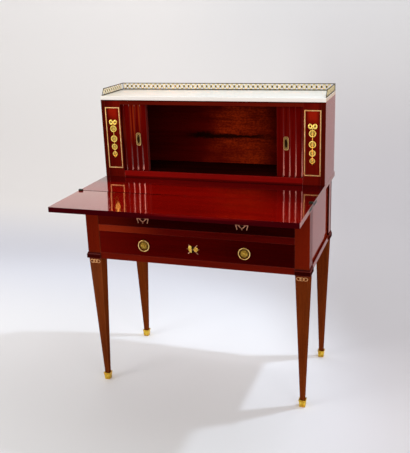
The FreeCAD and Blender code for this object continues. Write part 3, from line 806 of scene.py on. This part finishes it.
# name: grain, polish, and what differs
woods = {
    "topWood": ("X", "top", {"lacquer": topLacquer}),
    "leafGloss": ("X", "gloss", {"lacquer": topLacquer, "slope": 2.3}),
    "frontWood": ("X", "front", {"shift": (0, 0, 3), "patch": litLeftShadedRight}),
    "shadeWood": ("X", "shade", {"shift": (0, 0, 3), "patch": sunnyEnd}),
    "railWood": ("X", "rail", {"shift": (0, 0, 5)}),
    "topRailWood": ("X", "rail", {"shift": (0, 0, 5), "patch": shadeUnderMarble}),
    "shadedRailWood": ("X", "midRail", {"shift": (0, 0, 5), "patch": sunnyRail}),
    "litRailWood": ("X", "deepRail", {"shift": (0, 0, 5), "patch": lowerHalfDark}),
    "rearPostWood": ("Z", "leg", {"patch": shadedRearPost, "lacquer": rearLacquer}),
    "postWood": ("Z", "leg", {"patch": redPost, "lacquer": postLacquer}),
    "sideWood": ("Z", "side", {"figure": 0.6, "lacquer": sideLacquer}),
    "pilasterWood": ("Z", "pilaster", {"figure": 1.0, "shift": (1, 0, 0), "patch": pilasterTone}),
    "slatWood": ("Z", "slat", {"lacquer": slatLacquer}),
    "insideWood": ("X", "inside", {"figure": 1.0}),
    "backWood": ("X", "back", {"figure": 1.0, "shift": (0, 0, 7), "patch": markedBack}),
    "mouldingWood": ("X", "moulding", {"figure": 0.6}),
}
# name: two colours of the metal, its roughness, and where its recesses and its tops lie
brasses = {
    "galleryBrass": ((212, 190, 134), (248, 232, 186), 0.3),
    # dark brass for the rails, and for the knots as painted shade where the rings cross
    "shadedKnotBrass": ((60, 52, 28), (98, 86, 54), 0.5),
    "frameBrass": ((230, 164, 96), (255, 220, 160), 0.36, (0.1036, 0.1027)),
    "mountBrass": ((248, 192, 66), (255, 242, 140), 0.29, (0.1031, 0.1025)),
    "bowBrass": ((150, 96, 70), (214, 160, 130), 0.4),
    "plateBrass": ((140, 104, 36), (226, 190, 84), 0.3, (-0.1034, -0.1046)),
    "keyBrass": ((190, 140, 40), (255, 226, 112), 0.26, (-0.1022, -0.103)),
    "ringBrass": ((206, 160, 84), (250, 220, 150), 0.28),
    "bandBrass": ((220, 150, 90), (255, 206, 150), 0.3),
    "cupBrass": ((190, 140, 30), (255, 224, 90), 0.3),
    "tambourBrass": ((216, 160, 90), (255, 220, 150), 0.3, (0.1135, 0.1129)),
    "darkBrass": ((26, 16, 8), (58, 38, 18), 0.6),
}
# name: two colours of the metal and its roughness
metals = {"hingeBrass": ((14, 18, 14), (48, 52, 40), 0.42), "steel": ((84, 82, 80), (150, 148, 144), 0.4)}
# words in a node's name and its finish; the first that fits holds
finishRules = {
    "leg_front": "postWood", "leg_rear": "rearPostWood", "sabots": "cupBrass", "post_collars": "mouldingWood",
    "leg_bands": "bandBrass", "side_panel": "sideWood", "side_rails": "sideWood", "carcass_back": "insideWood",
    "front_bottom_rail": "railWood", "front_middle_rail": "shadedRailWood", "drawer_runners": "oak",
    "fixed_top": "topWood", "hinge": "hingeBrass", "leaf": "topWood", "cabinet_side": "sideWood",
    "cabinet_back": "backWood", "cabinet_bottom_board": "insideWood", "cabinet_top_board": "insideWood",
    "cabinet_bottom_rail": "litRailWood", "cabinet_top_rail": "topRailWood", "pocket_liners": "insideWood",
    "marble_top": "marble", "gallery": "galleryBrass", "pilaster_frames": "frameBrass",
    "pilaster_mount": "mountBrass", "pilaster": "pilasterWood", "tambour_left_pull": "tambourBrass",
    "tambour_right_pull": "tambourBrass", "drawer_case": "oak", "drawer_bottom": "oak",
    "drawer_pulls": "bowBrass", "escutcheon": "keyBrass", "rosettes": "plateBrass", "pull_ring": "ringBrass",
    "lock_": "steel", "upper_drawer_front": "shadeWood", "drawer_front": "frontWood", "linen": "canvas",
    "slats": "slatWood",
}
finishes = {}


def makeFinishes():
    for name, (grain, finish, rest) in woods.items():
        finishes[name] = mahogany(name, grain, finish, **rest)
    for name, facts in brasses.items():
        finishes[name] = giltBrass(name, *facts)
    for name, facts in metals.items():
        finishes[name] = plainMetal(name, *facts)
    finishes.update(oak=oak("oak", "X"), marble=marble("marble"), canvas=canvas("canvas"))


def finishOf(node):
    return next(finish for words, finish in finishRules.items() if words in node)


def paintNodes():
    for name, node in nodes.items():
        node.data.materials.clear()
        node.data.materials.append(finishes[finishOf(name)])
    print("painted", len(nodes), "nodes")


# boards, rails and posts, copied with their arrises taken off: rounding in metres and its segments
arrises = {
    "fixed_top": (0.0006, 3), "leaf": (0.0006, 3), "marble_top": (0.0006, 2),
    "leg_front_left": (0.0009, 2), "leg_front_right": (0.0009, 2), "leg_rear_left": (0.0009, 2),
    "leg_rear_right": (0.0009, 2), "post_collars": (0.0009, 2), "side_panel_left": (0.0008, 2),
    "side_panel_right": (0.0008, 2), "side_rails": (0.0008, 2), "carcass_back": (0.0008, 2),
    "front_bottom_rail": (0.0008, 2), "front_middle_rail": (0.0008, 2), "upper_drawer_front": (0.0009, 2),
    "lower_drawer_front": (0.0009, 2), "cabinet_side_left": (0.0008, 2), "cabinet_side_right": (0.0008, 2),
    "cabinet_back": (0.0005, 1), "cabinet_top_rail": (0.0008, 2), "cabinet_bottom_rail": (0.0008, 2),
    "pilaster_left": (0.0008, 2), "pilaster_right": (0.0008, 2), "pocket_liners": (0.0008, 2),
    "upper_drawer_case": (0.0008, 2), "lower_drawer_case": (0.0008, 2), "upper_drawer_bottom": (0.0006, 1),
    "lower_drawer_bottom": (0.0006, 1), "drawer_runners": (0.0008, 1), "lock_case": (0.0005, 2),
    "lock_bolt": (0.0005, 2), "hinge_plates_fixed": (0.00035, 2), "hinge_plates_leaf": (0.00035, 2),
}
sharpCorner = math.radians(40)
keyholeBox = {"halfX": 0.02, "low": 0.52, "high": 0.59, "face": -0.09}


def mergedCopy(node):
    piece = copied(nodes[node])
    piece.parent = None
    for key in list(piece.keys()):
        del piece[key]
    edit(piece)
    bpy.ops.mesh.select_all(action="SELECT")
    bpy.ops.mesh.remove_doubles(threshold=0.000005)
    bpy.ops.mesh.dissolve_limited(angle_limit=math.radians(0.5))
    leaveEdit()
    return piece


def onShowFace(edge):
    middle, shape = middleOf(edge), keyholeBox
    keyhole = abs(middle.x) < shape["halfX"] and shape["low"] < middle.z < shape["high"]
    return middle.y < shape["face"] and not keyhole and edge.calc_face_angle(0) > sharpCorner


def weighFront(piece):
    # the lock's mortise leaves a thin wall at the back, so only the edges of the show face are eased
    edit(piece)
    choose(piece, "EDGE", onShowFace)
    bpy.ops.transform.edge_bevelweight(value=1)
    leaveEdit()


def easeArrises():
    for node, (width, segments) in arrises.items():
        piece = mergedCopy(node)
        locked = node == "lower_drawer_front"
        if locked:
            weighFront(piece)
        applied(piece, "BEVEL", width=width, segments=segments, limit_method="WEIGHT" if locked else "ANGLE",
                angle_limit=sharpCorner, use_clamp_overlap=True)
        if node == "marble_top":
            smooth(piece, 25)
        fitted(piece, titled(node), node, finishOf(node))
        if node == "leaf":
            # the leaf's two faces have their own gloss
            piece.data.materials.append(finishes["leafGloss"])
            for face in piece.data.polygons:
                face.material_index = int(abs(face.normal.z) > 0.9)
    print("eased", len(arrises), "boards")


galleryShape = {"foot": 1.0321, "height": 0.0245, "halfLength": 0.4049, "back": 0.297, "sideX": 0.4033,
                "front": 0.1145, "pitch": 0.01765, "rings": 45, "sideRings": 9, "first": 0.0119,
                "sideFirst": 0.01985, "ringHalf": 0.0072, "wire": 0.0026, "ringDeep": 0.0013,
                "knot": (0.004, 0.0014, 0.0043), "rake": 0.016, "rail": 0.003, "railDeep": 0.0016, "round": 0.0004,
                "rakePost": 0.0011, "endPost": 0.0015}


def galleryStrip(length, first, count, raked):
    # a strip along X from 0, its middle plane at y = 0 and its foot at z = 0
    shape = galleryShape
    tall, rail, deep, round = (shape[key] for key in ("height", "rail", "railDeep", "round"))
    middle = tall / 2 + 0.0002
    ring = hoop((first, 0, middle), shape["ringHalf"], tall / 2 - rail * 0.55, shape["wire"], 0, 20, 6,
                shape["ringDeep"])
    rings = row(ring, (shape["pitch"], 0, 0), count)
    knots = row(bead((first + shape["pitch"] / 2, 0, middle), shape["knot"]), (shape["pitch"], 0, 0), count - 1)
    if raked:
        slope = Vector((shape["rake"], 0, tall - rail))
        for piece in (rings, knots):
            edit(piece)
            bpy.ops.mesh.select_all(action="SELECT")
            bpy.ops.mesh.bisect(plane_co=(0, 0, rail), plane_no=(slope.z, 0, -slope.x), clear_inner=True,
                                use_fill=True)
            leaveEdit()
    lean = shape["rake"] if raked else 0
    parts = [knots, block((0, -deep, 0), (length, deep, rail), round),
             block((lean * 0.96, -deep, tall - rail * 0.8), (length, deep, tall), round)]
    if raked:
        thick = shape["rakePost"]
        parts.append(spindle((0.0008, 0, rail * 0.7), (lean + 0.0003, 0, tall - thick), thick, thick, 8))
    else:
        thick = shape["endPost"]
        for end in (0.0017, length - 0.0017):
            parts.append(spindle((end, 0, 0.001), (end, 0, tall - 0.001), thick, thick, 8))
    return rings, joined(parts, "rails")


def buildGallery():
    shape = galleryShape
    backs = galleryStrip(2 * shape["halfLength"], shape["first"], shape["rings"], False)
    length = shape["back"] - shape["railDeep"] - shape["front"]
    sides = galleryStrip(length, shape["sideFirst"], shape["sideRings"], True)
    for back, side, name, finish in zip(backs, sides, ("galleryRings", "galleryRails"),
                                        ("galleryBrass", "shadedKnotBrass")):
        putAt(back, (-shape["halfLength"], shape["back"], shape["foot"]))
        putAt(side, (shape["sideX"], shape["front"], shape["foot"]), (0, 0, 90))
        gilded([back, side, mirroredCopy(side)], name, "gallery", finish, 50)
    print("gallery built")


# the beaded frame on a pilaster, and the drop of a bow and four medallions inside it: height and radius of each
pilasterShape = {"x": 0.362, "front": 0.104, "halfX": 0.0282, "halfZ": 0.111, "middle": 0.882, "line": 0.0039,
                 "thick": 0.0009, "beadStep": 0.00312, "bead": (0.0013, 0.0009, 0.0013), "beadOut": 0.0007,
                 "bow": (0.9385, 0.031, 0.0195), "bowWire": 0.0032, "bowDeep": 0.0012, "link": 0.0011,
                 "medallions": ((0.9155, 0.0122), (0.879, 0.0122), (0.8492, 0.0109), (0.8234, 0.0092))}


def beadedFrame():
    shape = pilasterShape
    x, y, mid, line = (shape[key] for key in ("x", "front", "middle", "line"))
    halfX, halfZ, back = shape["halfX"], shape["halfZ"], y - shape["thick"]
    parts = []
    for side in (-1, 1):
        low, high = sorted((x + side * halfX, x + side * (halfX - line)))
        parts.append(block((low, back, mid - halfZ), (high, y, mid + halfZ), 0.0003))
        low, high = sorted((mid + side * halfZ, mid + side * (halfZ - line)))
        parts.append(block((x - halfX + line, back, low), (x + halfX - line, y, high), 0.0003))
    tall, wide, plane = halfZ - line / 2, halfX - line / 2, y - shape["beadOut"]
    countZ, countX = (2 * round(reach / shape["beadStep"]) for reach in (tall, wide))
    for side in (-1, 1):
        upright = bead((x + side * wide, plane, mid - tall), shape["bead"], 8, 4)
        parts.append(row(upright, (0, 0, 2 * tall / countZ), countZ + 1))
    for side in (-1, 1):
        level = bead((x - wide + 2 * wide / countX, plane, mid + side * tall), shape["bead"], 8, 4)
        parts.append(row(level, (2 * wide / countX, 0, 0), countX - 1))
    return parts


def medallion(radius):
    # made 24 mm across, then scaled: a broad rim with beads, a sunk field with petals, and a boss
    full = 0.0122
    plate = insetFront(disc((0, 0, 0), full, 0.0018, 36), [(0.0034, 0.0), (0.0004, -0.0009)])
    parts = [plate, bead((0, -0.001, 0), (0.0018, 0.0013, 0.0018), 12, 6)]
    parts += wreath((0, -0.0009, 0), 0.0047, 6, (0.0012, 0.0011, 0.0024))
    parts += wreath((0, -0.0016, 0), 0.0104, 24, (0.0011, 0.0008, 0.0011), 6, 4)
    return resized(joined(parts, "medallion"), (radius / full, 1, radius / full))


def ribbonBow(x, y, z, span, tall, wire, deep, lean=10):
    parts = []
    for side in (-1, 1):
        parts.append(hoop((x + side * span * 0.255, y, z), span * 0.25, tall / 2, wire, side * lean, 28, 8, deep))
    parts.append(bead((x, y - deep * 0.4, z), (span * 0.11, deep * 1.1, span * 0.12), 10, 6))
    return parts


def buildPilasters():
    shape = pilasterShape
    bothSides(beadedFrame(), "pilasterBeading", "pilaster_frames", "frameBrass")
    x, y, link = shape["x"], shape["front"], shape["link"]
    bowZ, span, tall = shape["bow"]
    parts = ribbonBow(x, y - shape["bowDeep"], bowZ, span, tall, shape["bowWire"], shape["bowDeep"])
    last, plane = bowZ, y - shape["thick"]
    for z, radius in shape["medallions"]:
        parts.append(putAt(medallion(radius), (x, y, z)))
        parts.append(spindle((x, plane, last), (x, plane, z), link, link, 6))
        last = z
    foot = z - radius
    parts.append(spindle((x, plane, foot + 0.001), (x, plane, foot - 0.0052), 0.0042, 0.0008, 8))
    eachSide(joined(parts, "mount"), "pilasterMount*", "pilaster_mount_~", "mountBrass")
    print("pilaster brass built")


drawerFace = -0.102
# the bow pulls; ends: the ribbon ends run across, down at the outside, and slanting in to the knot
bowPullShape = {"x": 0.174, "z": 0.6525, "span": 0.043, "tall": 0.0145, "out": 0.0085, "wire": 0.0016,
                "deep": 0.0012, "end": (0.0019, 0.0014),
                "ends": (((0.021, 0.0), (0.0105, -0.0012)), ((0.0205, 0.0), (0.0162, -0.0168)),
                         ((0.0125, -0.0012), (0.0032, -0.0108)))}


def buildBowPulls():
    shape = bowPullShape
    x, z, y = shape["x"], shape["z"], drawerFace - shape["out"]
    parts = ribbonBow(x, y, z + 0.005, shape["span"], shape["tall"], shape["wire"], shape["deep"])
    for side in (-1, 1):
        for run in shape["ends"]:
            start, end = ((x + side * outX, y + 0.0003, z + outZ) for outX, outZ in run)
            parts.append(spindle(start, end, *shape["end"], 8))
    parts.append(bead((x, y + 0.0002, z - 0.0158), (0.0026, 0.0013, 0.002), 12, 6))
    parts.append(bead((x, y + 0.0002, z - 0.0112), (0.0024, 0.0013, 0.002), 12, 6))
    stud = [disc((x, drawerFace, z), 0.007, 0.0015, 24), spindle((x, drawerFace, z), (x, y, z), 0.0036, 0.003, 16)]
    bothSides(parts, "bowPulls", "upper_drawer_pulls", "bowBrass")
    bothSides(stud, "bowStuds", "upper_drawer_pulls", "darkBrass")


ringShape = {"x": 0.1785, "z": 0.552, "ring": 0.0192, "wire": 0.0019, "out": 0.00305, "plate": 0.0138,
             "plateThick": 0.0018, "petals": (0.0082, 12, (0.0016, 0.001, 0.0036)),
             "beads": (0.0128, 30, (0.0009, 0.0008, 0.0009), 6, 4), "boss": (0.0043, 0.0022, 0.0043),
             "eye": 0.003, "eyeWire": 0.0004, "eyeDeep": 0.0025}


def buildRingPulls():
    shape = ringShape
    x, z, plane = shape["x"], shape["z"], drawerFace - shape["out"]
    steps = [(0.0007, 0.0), (0.0005, -0.0005), (0.0016, 0.0), (0.0004, 0.0004), (0.0022, 0.0003)]
    parts = [insetFront(disc((x, drawerFace, z), shape["plate"], shape["plateThick"], 40), steps)]
    parts += wreath((x, drawerFace - 0.002, z), *shape["petals"])
    parts += wreath((x, drawerFace - 0.0017, z), *shape["beads"])
    parts.append(bead((x, drawerFace - 0.0024, z), shape["boss"], 16, 8))
    eyeZ, half = z + shape["ring"], shape["eyeDeep"]
    parts.append(block((x - half, drawerFace - 0.0009, z + 0.0125), (x + half, drawerFace, eyeZ + 0.003), 0.0004))
    eye = hoop((0, 0, 0), shape["eye"], shape["eye"], shape["eyeWire"], 0, 20, 6, shape["eyeDeep"])
    parts.append(putAt(putAt(eye, (0, 0, 0), (0, 0, 90)), (x, plane, eyeZ)))
    bothSides(parts, "ringPlates", "lower_drawer_rosettes", "plateBrass")
    reach = shape["ring"] + shape["wire"]
    for side, node in ((-1, "pull_ring_left"), (1, "pull_ring_right")):
        gilded([hoop((side * x, plane, z), reach, reach, shape["wire"], 0, 56, 14)], titled(node), node, "ringBrass")


# the lock's mount: a crossed torch and quiver over a plate with a keyhole, and a flower
keyShape = {"z": 0.553, "quiver": -0.0096, "flower": 0.0098, "lean": 46, "plate": (0.006, 0.0125, 0.0018),
            "hole": 0.0026, "slot": 0.0013, "reach": (-0.13, -0.08)}


def keyholeTool():
    z, hole, half = keyShape["z"], keyShape["hole"], keyShape["slot"]
    front, back = keyShape["reach"]
    barrel = spindle((0, front, z + 0.0024), (0, back, z + 0.0024), hole, hole, 24)
    slot = block((-half, front, z - 0.006), (half, back, z + 0.002))
    applied(barrel, "BOOLEAN", operation="UNION", object=slot, solver="EXACT")
    removed(slot)
    return barrel


def buildEscutcheon():
    shape = keyShape
    z, lean = shape["z"], shape["lean"]
    tool = keyholeTool()
    plate = oval((0, drawerFace, z - 0.001), *shape["plate"], 40)
    applied(plate, "BEVEL", width=0.0005, segments=2, limit_method="ANGLE")
    base = Vector((0, drawerFace - 0.0006, z))
    bars = []
    for side in (-1, 1):
        out = Vector((side * math.sin(math.radians(lean)), 0, math.cos(math.radians(lean))))
        bars.append(spindle(base - out * 0.0235, base + out * 0.0195, 0.0015, 0.0011, 10))
        bars.append(bead(base + out * 0.0195, (0.0017, 0.0012, 0.003), 10, 6, side * lean))
        bars.append(bead(base - out * 0.0222, (0.0021, 0.0012, 0.0026), 8, 5, side * lean))
        bars.append(spindle(base + Vector((side * 0.0223, 0, 0)), base, 0.0008, 0.0016, 8))
    for part in bars + [plate]:
        cutAway(part, tool)
    removed(tool)
    quiver = [bead((shape["quiver"], drawerFace - 0.0004, z), (0.0072, 0.002, 0.0132), 20, 12, -8)]
    for step in (-0.006, 0.0, 0.006):
        place = (shape["quiver"] - step * 0.14, drawerFace - 0.0012, z + step)
        quiver.append(hoop(place, 0.0066, 0.0012, 0.0006, 0, 16, 6))
    flower = [disc((shape["flower"], drawerFace, z), 0.0074, 0.001, 24)]
    flower += wreath((shape["flower"], drawerFace - 0.001, z), 0.0062, 7, (0.0022, 0.0014, 0.0032))
    quiver.append(bead((shape["flower"] - 0.002, drawerFace - 0.0013, z), (0.0026, 0.0012, 0.0026), 10, 6))
    for pieces, name, finish in ((quiver, "keyQuiver", "keyBrass"), (flower, "keyFlowers", "keyBrass"),
                                 (bars, "keyBars", "bowBrass"), ([plate], "keyPlate", "darkBrass")):
        gilded(pieces, name, "lower_drawer_escutcheon", finish)
    print("drawer brass built")


legPlace = {"x": 0.3703, "frontY": -0.078, "rearY": 0.296}
# three linked rings and two beads, leaning with the face of the leg
bandShape = {"z": 0.4795, "faceY": -0.10102, "halfX": 0.0086, "halfZ": 0.0064, "step": 0.0106, "slope": 1.897,
             "wire": 0.00095, "deep": 0.0008, "bead": (0.0012, 0.0009, 0.0012)}
sabotShape = {"foot": 0.02, "shoulder": 0.0226, "shoulderZ": 0.0215, "lip": 0.0256, "lipZ": 0.027, "wall": 0.0016,
              "ledge": 0.0009}


def buildLegBands():
    shape = bandShape
    x, z, y = legPlace["x"], shape["z"], shape["faceY"]
    parts = [hoop((x + i * shape["step"], y - 0.0008, z), shape["halfX"], shape["halfZ"], shape["wire"], 0, 28, 8,
                  shape["deep"]) for i in (-1, 0, 1)]
    parts += [bead((x + i * shape["step"], y - 0.0007, z), shape["bead"], 8, 4) for i in (-0.5, 0.5)]
    band = joined(parts, "band")
    pick(band)
    bpy.ops.transform.rotate(value=math.radians(-shape["slope"]), orient_axis="X", center_override=(x, y, z))
    bothSides([settle(band)], "legBands", "leg_bands", "bandBrass")


def buildFootCups():
    shape = sabotShape
    shoulderZ, shoulder = shape["shoulderZ"], shape["shoulder"]
    cups = []
    for y in (legPlace["frontY"], legPlace["rearY"]):
        centre = (legPlace["x"], y)
        cup = frustum(centre, 0, shape["foot"], shoulderZ, shoulder)
        rim = frustum(centre, shoulderZ, shoulder, shape["lipZ"], shape["lip"])
        edit(rim)
        choose(rim, "FACE", lambda face: face.normal.z > 0.9)
        bpy.ops.mesh.inset(thickness=shape["wall"], depth=0)
        bpy.ops.mesh.inset(thickness=0.0012, depth=-0.004)
        leaveEdit()
        wide = shoulder + shape["ledge"]
        ledge = frustum(centre, shoulderZ - 0.0016, wide, shoulderZ - 0.0002, wide)
        for part, width in ((cup, 0.0007), (rim, 0.0003), (ledge, 0.0004)):
            cups.append(applied(part, "BEVEL", width=width, segments=2))
    bothSides(cups, "footCups", "sabots", "cupBrass", 30)
    print("leg brass built")


tambourPull = {"x": 0.2705, "z": 0.878, "halfX": 0.0085, "halfZ": 0.023, "face": 0.115, "thick": 0.002,
               "corner": 0.0065, "eyeX": 0.005, "eyeZ": 0.0155}


def buildTambourPulls():
    shape = tambourPull
    x, z, face, eyeX, eyeZ = (shape[key] for key in ("x", "z", "face", "eyeX", "eyeZ"))
    front = face - shape["thick"]
    plate = block((x - shape["halfX"], front, z - shape["halfZ"]), (x + shape["halfX"], face, z + shape["halfZ"]))
    edit(plate)
    chooseEdges(plate, lambda middle: abs(middle.y - (face + front) / 2) < 0.0002)
    bpy.ops.mesh.bevel(offset=shape["corner"], segments=8, affect="EDGES")
    leaveEdit()
    insetFront(plate, [(0.0005, 0.0), (0.0012, -0.0006), (0.0004, 0.0)])
    tool = oval((x, face - 0.0004, z), eyeX, eyeZ, 0.02)
    cutAway(plate, tool)
    removed(tool)
    rim = hoop((x, face - 0.0014, z), eyeX + 0.0008, eyeZ + 0.0008, 0.0005, 0, 32, 6)
    # a dark oval sheet in the opening: painted shade in the recess
    eye = oval((x, face - 0.0003, z), eyeX + 0.0002, eyeZ + 0.0002, 0.0003)
    eachSide(joined([plate, rim], "pull"), "tambour*Pull", "tambour_~_pull", "tambourBrass", 30)
    eachSide(eye, "tambour*PullEye", "tambour_~_pull", "darkBrass", 30)
    print("tambour pulls built")


# nodes of the screws and how far back each head sits; the heads face sideways
screwRows = {"hinge_screws_fixed": (-0.0939, -0.075, -0.0561), "hinge_screws_leaf": (-0.1301, -0.149, -0.1679)}
driverSlot = {"half": (0.0006, 0.0033, 0.0004), "x": 0.405, "z": 0.7305}


def slotScrews():
    half = Vector(driverSlot["half"])
    for node, places in screwRows.items():
        piece = mergedCopy(node)
        for i, y in enumerate(places):
            for side in (-1, 1):
                turn = 37 * i + 20 * side + 15
                slot = putAt(block(-half, half), (side * driverSlot["x"], y, driverSlot["z"]), (turn, 0, 0))
                cutAway(piece, slot)
                removed(slot)
        fitted(smooth(piece, 30), titled(node), node, "hingeBrass")
    print("screws slotted")


reeds = {"width": 0.021, "gap": 0.0001, "foot": 0.757, "top": 1.008, "thick": 0.006, "belly": 4.0, "first": 0.115,
         "pitch": 0.0086, "stile": 0.022, "round": 0.46}
# first edge, number and groove of each run of slats; the leading stile comes before the front ones
reedRuns = {"front": (0.26, 5, 0), "back": (0.239, 6, 1), "fixed": (0.2395, 5, 2)}


def reed(left, width, groove):
    # one upright slat with a bellied front, made deep, rounded and then flattened
    shape = reeds
    low, high, belly = shape["foot"], shape["top"], shape["belly"]
    piece = block((left + shape["gap"], 0, low), (left + width - shape["gap"], shape["thick"] * belly, high))
    edit(piece)
    chooseEdges(piece, lambda middle: middle.y < 0.0001 and abs(middle.z - (low + high) / 2) < 0.01)
    bpy.ops.mesh.bevel(offset=width * shape["round"], segments=7, affect="EDGES")
    leaveEdit()
    return putAt(resized(piece, (1, 1 / belly, 1)), (0, shape["first"] + groove * shape["pitch"], 0))


def buildSlats():
    for kind, (start, count, groove) in reedRuns.items():
        run = row(reed(start, reeds["width"], groove), (reeds["width"], 0, 0), count)
        if kind == "front":
            run = joined([reed(start - reeds["stile"], reeds["stile"], groove), run], "run")
        if kind == "fixed":
            bothSides([run], "fixedSlats", "tambour_fixed_slats", "slatWood", 35)
        else:
            eachSide(run, "~Slats" + kind.capitalize(), "tambour_~_%s_slats" % kind, "slatWood", 35)
    print("slats built")


bpy.context.scene.view_settings.view_transform = "Standard"
placeCamera()
lightRoom()
placeLamps()
buildStage()
makeFinishes()
paintNodes()
easeArrises()
buildSlats()
slotScrews()
buildGallery()
buildPilasters()
buildBowPulls()
buildRingPulls()
buildEscutcheon()
buildLegBands()
buildFootCups()
buildTambourPulls()
